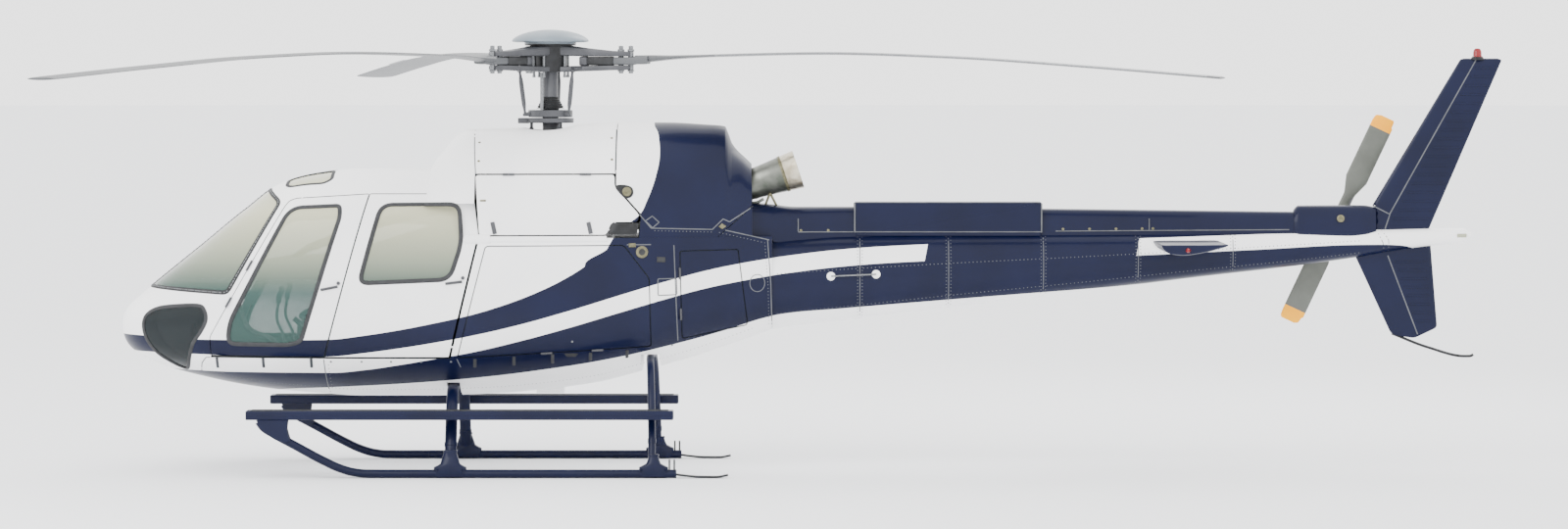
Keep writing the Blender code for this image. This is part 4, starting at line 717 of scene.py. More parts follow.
# %% Nose and roof
nose = skin("nose_skin", ((-3.7, 0.3), (-2.632, 0.3), (-2.632, 0.93), (-2.08, 0.93), (-2.08, 2.6),
                          (-3.7, 2.6)), 0)
carve(nose, side_prism(FRONT_DOOR, 0))
roof = skin("roof_skin", ((-2.0796, 1.95), (-2.0796, 2.6), (-0.575, 2.6), (-0.575, 1.95)), 0)
carve(roof, side_prism(FRONT_DOOR, 0))
carve(roof, side_prism(REAR_DOOR, 0))
for side, hand, board in SIDES:
    carve(nose, side_prism(WINDSCREEN, side, 0.028))
    carve(nose, side_prism(CHIN_WINDOW, side, 0.06))
    carve(roof, prism("cut", ROOF_WINDOW * (1, side), 2.0, 2.6, upward=True))
    post = hull_solid("door_post_" + hand, SKIN + DOOR_GAP)
    carve(post, side_prism(((-1.35, 2.3), (-1.41, 2.3), (-1.765, FLOOR), (-1.705, FLOOR)), side), "INTERSECT")
    carve(post, hull_solid("inner", SKIN * 2 + DOOR_GAP))
    wear(true_shade(post), (seal_rubber, lining))
wear(true_shade(nose), (banded_paint, lining), ["nose_shell"])
wear(true_shade(roof), (banded_paint, lining), ["roof_shell"])
print("nose faces:", len(nose.data.polygons), "roof faces:", len(roof.data.polygons))

# %% Belly and centre fuselage
FRONT_TUBE_TOP, REAR_TUBE_TOP = 0.7164, 0.9314
belly = hull_solid("belly_skin")
carve(belly, side_prism(((-2.6316, 0.3), (-2.6316, FLOOR), (-0.7, FLOOR), (0.7, 0.982), (0.7, 0.3)), 0),
      "INTERSECT")
carve(belly, prism("cut", ((-0.787, 0.3), (-0.685, 0.3), (-0.685, FRONT_TUBE_TOP), (-0.787, FRONT_TUBE_TOP)),
                   -1, 1))
wear(true_shade(belly), (banded_paint, lining), ["belly"])
centre = hull_solid("centre_skin")
CENTRE = ((-0.745, 0.9124), (-0.512, 1.886), (-0.556, 2.196), (-0.556, 2.33), (-0.526, 2.33),
          (-0.482, 1.886), (-0.475, DECK), (HULL_END, DECK), (HULL_END, 0.7), (0.7004, 0.7),
          (0.7004, 0.9826), (-0.7, 0.9124))
carve(centre, side_prism(CENTRE, 0), "INTERSECT")
carve(centre, prism("cut", ((0.73, 0.3), (0.875, 0.3), (0.875, REAR_TUBE_TOP), (0.73, REAR_TUBE_TOP)), -1, 1))
under = cowl_solid("under", -0.03)
carve(under, cowl_solid("inner", 0.025))
carve(under, prism("cut", ((-2, 1), (2, 1), (2, DECK + 0.0195), (-2, DECK + 0.0195)), -1, 1))
carve(centre, under)
for side, hand, board in SIDES:
    room = carve(hull_solid("room", SKIN), side_prism(grown(BAGGAGE_DOOR, -0.03), side, 0.3, 1.2),
                 "INTERSECT")
    carve(centre, room)
    band = carve(hull_solid("band", -0.02), hull_solid("inner", SKIN + 0.004))
    carve(centre, carve(band, side_prism(BAGGAGE_DOOR, side, 0.56, 1.2), "INTERSECT"))
room = carve(hull_solid("room", SKIN), prism("cut", grown(HOLD_DOOR, -0.02), -1.2, 0.9), "INTERSECT")
carve(centre, room)
band = carve(hull_solid("band", -0.02), hull_solid("inner", SKIN + 0.004))
carve(centre, carve(band, prism("cut", HOLD_DOOR, -1.2, -0.2), "INTERSECT"))
wear(true_shade(centre), (banded_paint, lining), ["centre_fuselage"])
print("centre faces:", len(centre.data.polygons))

# %% [markdown]
# ## Doors and panes
# A door is the same skin, drawn in by the gap round it. A pane is a 5 mm sheet of acrylic, 4 mm below the
# skin, so that it lies in its rubber.


# %% Doors and their panes
def door_skin(name, outline, side, body_name, replaced, gap=DOOR_GAP, window=None, form=hull_solid,
              level=hull_level, thickness=SKIN):
    """A door drawn in by its gap, with its window cut out."""
    door = skin(name, grown(outline, -gap), side, form, thickness)
    if window is not None:
        carve(door, side_prism(window, side))
    return wear(true_shade(door, level), (banded_paint, lining), [replaced], body_name)


def pane(name, outline, side, body_name, replaced, inner=0.02, glass=None):
    """A sheet of acrylic inside an outline."""
    sheet = carve(hull_solid(name, GLASS_SINK), side_prism(outline, side, inner), "INTERSECT")
    carve(sheet, hull_solid("inner", GLASS_SINK + GLASS))
    return wear(true_shade(sheet), (glass or acrylic_with_painted_reflection, glass or acrylic_with_painted_reflection), [replaced], body_name)


for side, hand, board in SIDES:
    front = board + "_front_door"
    door_skin("front_door_skin_" + hand, FRONT_DOOR, side, front, "front_door_" + hand, window=FRONT_WINDOW)
    pane("front_pane_" + hand, FRONT_WINDOW, side, front, "front_glass_" + hand)
    door_skin("sliding_door_skin_" + hand, REAR_DOOR, side, "airframe", "sliding_door_" + hand,
              window=REAR_WINDOW)
    pane("sliding_pane_" + hand, REAR_WINDOW, side, "airframe", "sliding_glass_" + hand)
    door_skin("baggage_skin_" + hand, BAGGAGE_DOOR, side, board + "_baggage_door", "baggage_door_" + hand,
              HATCH_GAP)
    door_skin("cowl_door_skin_" + hand, COWL_DOOR, side, board + "_cowl_door", "cowl_door_" + hand,
              form=cowl_solid, level=cowl_level, thickness=COWL_SKIN)
    pane("windscreen_pane_" + hand, WINDSCREEN, side, "airframe", "windscreen_" + hand, 0.028)
    pane("chin_pane_" + hand, CHIN_WINDOW, side, "airframe", "chin_window_" + hand, 0.06, smoked_with_painted_reflection)
    light = hull_solid("roof_pane_" + hand, GLASS_SINK)
    carve(light, prism("cut", ROOF_WINDOW * (1, side), 2.0, 2.6, upward=True), "INTERSECT")
    carve(light, hull_solid("inner", GLASS_SINK + GLASS))
    wear(true_shade(light), (acrylic_with_painted_reflection, acrylic_with_painted_reflection), ["roof_window_" + hand])
door_skin("hold_door_skin", HOLD_DOOR, -1, "hold_door", "rear_hold_door", HATCH_GAP)
print("doors and panes made")

# %% [markdown]
# ## Cowlings
# The gearbox and the engine sit under composite cowlings: one arched form, cut into a fixed top, two doors
# and the engine's part.

# %% Cowlings
fixed = cowl_solid("gearbox_cowling_skin")
carve(fixed, side_prism(((-0.555, 2.352), (-0.555, 2.9), (0.534, 2.9), (0.534, 2.352)), 0), "INTERSECT")
carve(fixed, cowl_solid("inner", COWL_SKIN))
front = cowl_solid("cowling_front")
carve(front, prism("cut", ((-1.0, 2.12), (-0.55, 2.12), (-0.55, 2.9), (-1.0, 2.9)), -1.2, 1.2), "INTERSECT")
carve(front, hull_solid("inner", -0.0004))
carve(front, prism("cut", ((-0.5615, 2.0), (-0.4, 2.0), (-0.4, 2.3555), (-0.5615, 2.3555)), -1.2, 1.2))
carve(fixed, front, "UNION")
hole = full_turn(64)
carve(fixed, prism("cut", np.stack([0.215 * np.cos(hole), 0.215 * np.sin(hole)], -1), 2.5, 2.9, upward=True))
wear(true_shade(fixed, cowl_level), (banded_paint, lining), ["gearbox_cowling"])
engine_cowl = cowl_solid("engine_cowling_skin")
carve(engine_cowl, side_prism(((0.5405, 2.9), (0.5405, 2.254), (0.735, 2.034), (0.719, DECK + 0.0004),
                               (1.33, DECK + 0.0004), (1.5995, 2.096), (1.585, 2.9)), 0), "INTERSECT")
carve(engine_cowl, cowl_solid("inner", COWL_SKIN))
wear(true_shade(engine_cowl, cowl_level), (banded_paint, lining), ["engine_cowling"])
print("cowling faces:", len(fixed.data.polygons), len(engine_cowl.data.polygons))

# %% [markdown]
# ## Boom, drive-shaft cover and tail
# The boom is a tapering riveted tube. A raised cover runs over it for the tail rotor's drive shaft, with a
# box over its forward part. Both ends of each are closed by rings.


# %% Boom and shaft cover
def spine_section(x, top, half, low):
    """A low arch, a superellipse of power 2.6, standing on straight sides: one row of points for each x."""
    x, top, half, low = (np.asarray(v, float)[:, None] for v in (x, top, half, low))
    c, s = superellipse(np.linspace(0, np.pi, 25), 2.6)
    y, height = half * c, low + 0.02 + (top - low - 0.02) * s
    y = np.concatenate([half, y, -half], 1)
    height = np.concatenate([low, height, low], 1)
    return points_at(x, y, height)


boom = boom_solid("boom_skin")
wear(true_shade(boom, boom_level), (banded_paint, lining), ["tail_boom"])
x = np.linspace(1.59, 5.89, 120)
low = np.where(x < 1.76, DECK, 1.8)
spine = loft("shaft_cover_skin", spine_section(x, spine_lines[0](x), spine_lines[1](x), low))
wear(spine, banded_paint, ["shaft_cover"])
print("boom faces:", len(boom.data.polygons))

# %% [markdown]
# ## Working on the skin
# Seals, joint lines, straps and rivets all lie on the skin, so one function finds the skin's point and
# normal for a place in the side view, and another carries a small section along a path on it.


# %% Places on the skin
def side_points(places, side):
    """Points and normals on the outermost of cabin, cowling and boom."""
    places = np.asarray(places, float)
    x, height = places[:, 0], places[:, 1]
    cabin = np.where((x < HULL_END) & (height < hull_section(x)[0]), hull_side(x, height), 0.0)
    arch = np.where((height > DECK) & (x > -0.941) & (x < 1.6) & (height < cowl_top(x)),
                    cowl_side(x, height), 0.0)
    tube = np.where(x > HULL_END, boom_side(x, height), 0.0)
    widths = np.stack([cabin, arch, tube])
    form = widths.argmax(0)
    points = points_at(x, side * widths.max(0), height)
    with np.errstate(all="ignore"):
        normals = np.stack([slope(level, points) for level in (hull_level, cowl_level, boom_level)])
    return points, normals[form, np.arange(len(x))]


def carried(points, normals, section, closed=False):
    """A section of (across, out) pairs carried along a path; across is square to path and normal."""
    points, section = np.asarray(points, float), np.asarray(section, float)
    ahead = np.roll(points, -1, 0) - np.roll(points, 1, 0) if closed else np.gradient(points, axis=0)
    across = unit(np.cross(normals, unit(ahead)))
    return points[:, None] + section[None, :, :1] * across[:, None] + section[None, :, 1:] * normals[:, None]


def flat_section(width, lift, depth=0.003):
    """A low rectangle: width across, lift above the skin and depth below it."""
    return ((width / 2, -depth), (width / 2, lift), (-width / 2, lift), (-width / 2, -depth))


def arched_section(width, height, depth=0.004, count=7):
    """A half ellipse of a width and height, with its foot sunk by a depth."""
    a = np.linspace(0, np.pi, count)
    arch = np.stack([width / 2 * np.cos(a), height * np.sin(a)], -1)
    return np.concatenate([[(width / 2, -depth)], arch, [(-width / 2, -depth)]])


def bundle(name, grids):
    """Closed grids in one mesh: a grid is its points, or (points, True) where its end rows join."""
    spots, faces, start = [], [], 0
    for grid in grids:
        rows, ring = grid if isinstance(grid, tuple) else (grid, False)
        spots.append(rows.reshape(-1, 3))
        faces += [[i + start for i in face] for face in grid_faces(*rows.shape[:2], ring)]
        start += rows.shape[0] * rows.shape[1]
    return make_mesh(name, np.concatenate(spots), faces)


def fit(name, grids, finish, replaced=(), body="airframe"):
    """Closed grids in one mesh that faces outwards, with its finish and body; the solids it stands for are
    hidden.
    """
    return wear(outward(bundle(name, grids)), finish, replaced, body)


def studs(points, normals, radius=0.004, height=0.0015, sides=7):
    """Domed heads: a base, a rim and a smaller crown of points round each normal; one small grid each."""
    points, normals = np.asarray(points, float), np.asarray(normals, float)
    a = unit(np.cross(normals, (0.31, 0.17, 0.93)))
    b = np.cross(normals, a)
    turn = full_turn(sides)[None, :, None]
    circle = np.cos(turn) * a[:, None] + np.sin(turn) * b[:, None]
    rows = [points[:, None] + radius * share * circle + out * normals[:, None]
            for share, out in ((1.0, -0.0015), (1.0, height * 0.4), (0.6, height))]
    return list(np.stack(rows, 1))


def tube(path, radius, sides=14):
    """Circles square to a path."""
    path = np.asarray(path, float)
    ahead = unit(np.gradient(path, axis=0))
    spare = np.where(np.abs(ahead[:, 1:2]) > 0.9, (1.0, 0.0, 0.0), (0.0, 1.0, 0.0))
    a = unit(np.cross(spare, ahead))
    b = np.cross(ahead, a)
    turn = full_turn(sides)[None, :, None]
    radius = np.broadcast_to(np.asarray(radius, float), len(path))[:, None, None]
    return path[:, None] + radius * (np.cos(turn) * a[:, None] + np.sin(turn) * b[:, None])


def turned(profile, centre, axis=(0, 0, 1), sides=40):
    """A profile of (radius, distance) pairs turned about an axis through a centre."""
    w = unit(axis)
    u = unit(np.cross(w, (0, 1, 0) if abs(w[1]) < 0.9 else (1, 0, 0)))
    v = np.cross(w, u)
    turn = full_turn(sides)
    circle = np.cos(turn)[:, None] * u + np.sin(turn)[:, None] * v
    profile = np.asarray(profile, float)
    return np.asarray(centre) + profile[:, :1, None] * circle[None] + profile[:, 1:, None] * w


def slab(outline, low, high, origin=LIFT, u=(1, 0, 0), v=(0, 0, 1), edge=0.003):
    """An outline in u and v, carried along u x v from low to high, its edges broken by a chamfer."""
    u, v = np.asarray(u, float), np.asarray(v, float)
    w = np.cross(u, v)
    p = np.asarray(outline, float)
    small = grown(p, -edge)
    turn = np.sum(p[:, 0] * np.roll(p, -1, 0)[:, 1] - p[:, 1] * np.roll(p, -1, 0)[:, 0])
    rows = np.stack([np.asarray(origin) + q[:, :1] * u + q[:, 1:] * v + h * w
                     for q, h in ((small, low), (p, low + edge), (p, high - edge), (small, high))])
    return rows if turn > 0 else rows[:, ::-1]


def box_outline(u_low, u_high, v_low, v_high, radius=0.006):
    """A rectangle with rounded corners."""
    return rounded(((u_low, v_low), (u_high, v_low), (u_high, v_high), (u_low, v_high)), radius, 4)


# %% [markdown]
# ## Seals
# The side windows sit in a moulded rubber profile about 30 mm wide that shows as a dark grey ring. The
# windscreens are held by a black riveted strip, and the chin and roof windows by narrower rubber.


# %% Window seals
def on_skin(path, side, section, closed=False, step=0.03):
    """A section carried on the skin along a path in the side view."""
    points, normals = side_points(spread(path, step, closed), side)
    rows = carried(points, normals, section, closed)
    return (rows, True) if closed else rows


def crown(x, y):
    """Height of the cabin's skin over a place in plan, on its upper half."""
    top, bottom, half, waist = hull_section(x)
    share = np.clip(np.abs(y) / np.maximum(half, 1e-6), 0, 1)
    return waist + (top - waist) * (1 - share ** HULL_POWER) ** (1 / HULL_POWER)


POST = 0.028
for side, hand, board in SIDES:
    for outline, body_name, label in ((FRONT_WINDOW, board + "_front_door", "front_seal_"),
                                      (REAR_WINDOW, "airframe", "rear_seal_")):
        ring = on_skin(grown(outline, -0.013), side, arched_section(0.034, 0.006), True, 0.022)
        fit(label + hand, [ring], seal_rubber, body=body_name)
    ring = on_skin(CHIN_WINDOW, side, arched_section(0.03, 0.006), True, 0.022)
    fit("chin_seal_" + hand, [ring], seal_rubber)
    plan = spread(ROOF_WINDOW * (1, side), 0.022)
    points = points_at(*plan.T, crown(*plan.T))
    ring = carried(points, slope(hull_level, points), arched_section(0.028, 0.005), True)
    fit("roof_seal_" + hand, [(ring, True)], seal_rubber)

    # the windscreen's strip: its side outline where that lies on the skin, then the centre post's edge
    outline = spread(grown(WINDSCREEN, -0.006), 0.006)
    top = hull_section(outline[:, 0])[0]
    on = (outline[:, 1] < top) & (hull_side(outline[:, 0], np.minimum(outline[:, 1], top)) > POST)
    outline = np.roll(outline, -np.flatnonzero(on & ~np.roll(on, 1))[0], 0)[:on.sum()]
    outside, _ = side_points(outline, side)
    x = np.linspace(outside[-1, 0], outside[0, 0], 60)[1:-1]
    middle = points_at(x, side * POST, crown(x, POST))
    loop = spread(np.concatenate([outside, middle]), 0.03)
    normals = slope(hull_level, loop)
    strip = carried(loop, normals, arched_section(0.034, 0.005), True)
    fit("windscreen_strip_" + hand, [(strip, True)], black_rubber)
    heads = studs(loop[::2] + normals[::2] * 0.0045, normals[::2], 0.0055, 0.003)
    fit("windscreen_rivets_" + hand, heads, zinc)
print("seals made, windscreen loop points:", len(loop))

# %% [markdown]
# ## Cowling root, raised box and tail
# The engine cowling runs into the boom through a wedge of the same arch. The raised box is folded sheet, and
# the fins are ribbed sheet over two spars, so each has rows of pressed beads.


# %% Ovals along a path
def oval_along(path, side_axis, wide, deep, sides=20, power=2.0):
    """Ovals carried along a path: half width along a fixed axis, half depth square to it and to the path."""
    path, a = np.asarray(path, float), np.asarray(side_axis, float)
    ahead = np.gradient(path, axis=0)
    b = unit(np.cross(ahead, a))
    c, s = superellipse(full_turn(sides), power)
    wide, deep = (np.broadcast_to(v, len(path))[:, None, None] for v in (wide, deep))
    return path[:, None] + wide * c[None, :, None] * a + deep * s[None, :, None] * b[:, None]


def fin_half(t, chord, thickness):
    """Half thickness of a symmetrical aerofoil: thickness x chord x (1.092 sqrt(t) (1 - t)^0.9 + 0.03)."""
    return thickness * chord * (1.092 * np.sqrt(t) * (1 - t) ** 0.9 + 0.03)


def fin_ring(height, edges, depth, count=20):
    """The aerofoil at a height of a fin, from the functions of its edges and of its thickness."""
    t = (1 - np.cos(np.linspace(0, np.pi, count))) / 2
    lead, trail = edges(height)
    half = fin_half(t, trail - lead, depth(height))
    x = lead + (trail - lead) * t
    x, y = np.concatenate([x, x[-2:0:-1]]), np.concatenate([half, -half[-2:0:-1]])
    return points_at(x, y, height)


# %% Root wedge, raised box, gearbox fairing
root_skin = cowl_solid("cowl_root_skin")
carve(root_skin, side_prism(((1.335, DECK + 0.001), (1.6, 2.084), (1.668, 2.084), (1.668, DECK + 0.001)), 0),
      "INTERSECT")
wear(true_shade(root_skin, cowl_level), (banded_paint, banded_paint))
outline = rounded(((2.411, 1.84), (3.888, 1.84), (3.888, 2.115), (2.411, 2.115)), 0.012, 4)
box = slab(outline, -0.13, 0.13, edge=0.01)
fit("raised_box", [box], navy_paint)
rows = np.array(((5.8905, 2.05, 0.092), (5.925, 2.086, 0.104), (6.3, 2.088, 0.112), (6.46, 2.086, 0.1),
                 (6.54, 2.07, 0.075)))
x = np.linspace(5.8905, 6.54, 40)
fairing = loft("tail_gearbox_skin", spine_section(x, smooth_line(rows[:, 0], rows[:, 1])(x),
                                                  smooth_line(rows[:, 0], rows[:, 2])(x), np.full(40, 1.8)))
wear(fairing, navy_paint, ["tail_gearbox_fairing"])
ROTOR_X, ROTOR_Z = 6.28, 1.967 + GROUND
case = turned(((0.082, 0.08), (0.082, 0.112), (0.056, 0.122), (0.05, 0.15), (0.05, 0.186), (0.044, 0.1995)),
              (ROTOR_X, 0, ROTOR_Z), (0, 1, 0))
fit("tail_gearbox_output", [case], hub_paint)

# %% Fins, their spars and beads
def upper_edges(height):
    """Leading and trailing edge of the upper fin at a height, in a straight line each."""
    return 6.516 + 0.598 * (height - 2.086), 6.968 + 0.4267 * (height - 1.904)


def upper_depth(height):
    """Thickness over chord of the upper fin."""
    return np.interp(height, (1.74, 2.2, 2.8, 3.25), (0.17, 0.15, 0.13, 0.12))


def lower_edges(height):
    """Leading and trailing edge of the lower fin at a height."""
    return 6.34 - 0.468 * (height - 1.76), 7.06


def lower_depth(height):
    """Thickness over chord of the lower fin."""
    return 0.13 + 0.012 * (height - 1.02)


UPPER, LOWER = (upper_edges, upper_depth), (lower_edges, lower_depth)
rings = [fin_ring(h, *UPPER) for h in np.linspace(1.78, 3.235, 40)]
tip = rings[-1].mean(0)
rings += [tip + (rings[-1] - tip) * (1 - 0.045 * k * k, 0.9 - 0.13 * k, 1) + (0, 0, 0.0075 * k)
          for k in (1, 2)]
upper = loft("upper_fin_skin", np.stack(rings))
carve(upper, prism("cut", ((5.5, 1.2), (6.5404, 1.2), (6.5404, 2.0872), (5.5, 2.0872)), -1, 1))
wear(upper, navy_paint, ["upper_fin"])
lower = loft("lower_fin_skin", np.stack([fin_ring(h, *LOWER) for h in np.linspace(1.02, 1.86, 30)]))
edge = rounded(((6.38, 1.69), (6.663, 1.079), (6.7, 1.055), (6.85, 1.033), (7.033, 1.118), (6.975, 1.8),
                (6.3, 1.86)), 0.025, 4)
carve(lower, side_prism(edge, 0), "INTERSECT")
wear(lower, navy_paint, ["lower_fin"])


def on_fin(path, step, side, section, edges, depth):
    """A section carried along a path in the side view, on the side of a fin."""
    x, height = spread(path, step, False).T
    lead, trail = edges(height)

    def half(x):
        return fin_half(np.clip((x - lead) / (trail - lead), 0.001, 0.999), trail - lead, depth(height))

    lean = (half(x + 0.004) - half(x - 0.004)) / 0.008
    normals = np.stack([-lean, np.full(len(x), float(side)), np.zeros(len(x))], -1)
    normals = unit(normals)
    return carried(points_at(x, side * half(x), height), normals, section)


BEAD, SEAM = arched_section(0.017, 0.005), flat_section(0.009, 0.0008)
pills, seams = [], []
for side in (-1, 1):
    for share in np.arange(18) / 17:
        height = 3.177 - 1.197 * share
        pills.append(on_fin(((7.329 - 0.657 * share, height), (7.484 - 0.516 * share, height)), 0.02, side,
                            BEAD, *UPPER))
    for share in np.arange(8) / 7:
        height = 1.64 - 0.472 * share
        pills.append(on_fin(((6.696 + 0.163 * share, height), (6.937 + 0.05 * share, height)), 0.02, side,
                            BEAD, *LOWER))
    for path, form in ((((6.649, 2.016), (7.335, 3.246)), UPPER), (((6.636, 1.69), (6.877, 1.064)), LOWER),
                       (((6.52, 2.084), (6.652, 2.016), (6.613, 1.899)), UPPER)):
        seams.append(on_fin(path, 0.03, side, SEAM, *form))
fit("fin_beads", pills, navy_paint)
fit("fin_seams", seams, sealant)

# %% Stabiliser, tail light, bumper, beacon
section = smooth_loop(((4.766, 1.8), (4.8, 1.813), (5.04, 1.8145), (5.276, 1.812), (5.15, 1.766),
                       (5.0, 1.736), (4.9, 1.731), (4.815, 1.748)), 8)
SPAN = 1.265
y = np.array((-1.0, -0.996, -0.985, 0.985, 0.996, 1.0)) * SPAN
swell = np.array((0.55, 0.86, 1.0, 1.0, 0.86, 0.55))[:, None]
centre = section.mean(0)
plane = centre + (section - centre)[None] * swell[:, :, None]
plane = points_at(plane[..., 0], y[:, None], plane[..., 1])
wear(loft("stabiliser_skin", plane), navy_paint, ["stabiliser"])
collars = []
for y, grow in ((-0.26, 1.02), (-0.25, 1.1), (0.25, 1.1), (0.26, 1.02)):
    around = centre + (section - centre) * grow
    collars.append(points_at(around[:, 0], y, around[:, 1]))
wear(loft("stabiliser_collar", np.stack(collars)), white_paint)
lamp_glass, tree, shader, place = finish("cast_red_lens", Roughness=0.06, Transmission_Weight=0.35, IOR=1.49)
shader.inputs["Base Color"].default_value = hex_colour("#8F0A12")
bump(tree, shader, mottle(tree, place, 0.004, 1.0), 0.35, 0.0005)
dome = turned(((0.042, 0.0), (0.042, 0.016), (0.036, 0.019), (0.034, 0.024), (0.033, 0.052), (0.028, 0.068),
               (0.018, 0.079), (0.004, 0.0815)), (7.344, 0, 3.2506 + GROUND))
fit("beacon_lens", [dome], lamp_glass, ["beacon"])
for side, hand, board in SIDES:
    bulb = turned(((0.019, -0.004), (0.019, 0.004), (0.016, 0.018), (0.01, 0.027), (0.001, 0.03)),
                  (4.965, side * SPAN, centre[1] - 0.008 + GROUND), (0, side, 0), 20)
    tint = lamp_glass if side < 0 else smoked_with_painted_reflection
    fit("position_lamp_" + hand, [bulb], tint)
foot = turned(((0.05, -0.012), (0.05, 0.006), (0.044, 0.01), (0.044, 0.013)), (7.344, 0, 3.2506 + GROUND))
fit("beacon_foot", [foot], black_anodised)
path = curve_through(((6.675, 0, 1.07), (6.96, 0, 0.96), (7.253, 0, 0.889), (7.3, 0, 0.89),
                      (7.322, 0, 0.903)), 50) + LIFT
hoop = oval_along(path, (0, 1, 0), 0.011, 0.011, 14)
fit("tail_bumper_tube", [hoop], black_anodised, ["tail_bumper"])
print("tail made")

# %% [markdown]
# ## Rotor head
# The star is two forged plates with a rubber-and-metal spring between them on each arm. Everything here is
# turned round an axis or carried out along an arm, so two functions make it.


# %% Arms and blades
HUB = 3.24


def azimuth(degrees):
    """Unit vector at an angle from aft, clockwise seen from above."""
    return np.array((math.cos(math.radians(degrees)), -math.sin(math.radians(degrees)), 0.0))


def arm(rows, heading, power=6.0, count=32):
    """Rounded boxes along an arm: each row is distance out, half width, low and high."""
    out, lead = azimuth(heading), azimuth(heading + 90)
    c, s = superellipse(full_turn(count), power)
    r, wide, low, high = (np.asarray(rows, float)[:, k][:, None, None] for k in range(4))
    height = (low + high) / 2 + (high - low) / 2 * s[None, :, None] + GROUND
    return r * out + wide * c[None, :, None] * lead + height * (0, 0, 1)


def upright(spot, profile, sides=20):
    """A turned pin standing at a place; its profile is radius and height above the ground."""
    return turned(profile, (spot[0], spot[1], GROUND), sides=sides)


AZIMUTHS = (131.5, 11.5, -108.5)
DROOP = smooth_line((0.6, 1.4, 2.2, 3.2, 4.3, 5.345), (0.0, 0.035, 0.05, 0.02, -0.055, -0.14))
BLADE_WIDTH = smooth_line((0.6, 0.8, 1.0, 1.25, 6.0), (0.115, 0.13, 0.25, 0.35, 0.35))
BLADE_HALF = smooth_line((0.6, 0.8, 1.0, 1.3, 6.0), (0.034, 0.028, 0.017, 0.0115, 0.0115))


def blade_rows(stations, heading, start=0.0, end=1.0, extra=0.0, count=24):
    """Aerofoil between two chord shares: half = 2.1 x half thickness x sqrt(t) (1 - t)^0.75, plus an edge."""
    r = np.asarray(stations, float)[:, None]
    t = start + (end - start) * (1 - np.cos(np.linspace(0, np.pi, count))) / 2
    t = np.concatenate([t, t[-2:0:-1]])[None]
    side = np.concatenate([np.ones(count), -np.ones(count - 2)])[None]
    chord = np.where(r > 5.25, 0.35 - 0.04 * ((r - 5.25) / 0.095) ** 2, BLADE_WIDTH(r))
    half = BLADE_HALF(r) * (2.1 * np.sqrt(t) * (1 - t) ** 0.75 + 0.1) + extra
    half = half * np.where(r > 5.33, 0.6, 1.0)
    if end < 1.0:
        half = np.where(t > 0.98 * end, half - 2 * extra, half)
    place = r * np.ones_like(t)
    across = chord * (0.28 - t) + extra * 0.5
    out, lead = azimuth(heading), azimuth(heading + 90)
    height = HUB + DROOP(r) + side * half + GROUND
    return place[..., None] * out + across[..., None] * lead + height[..., None] * (0, 0, 1)


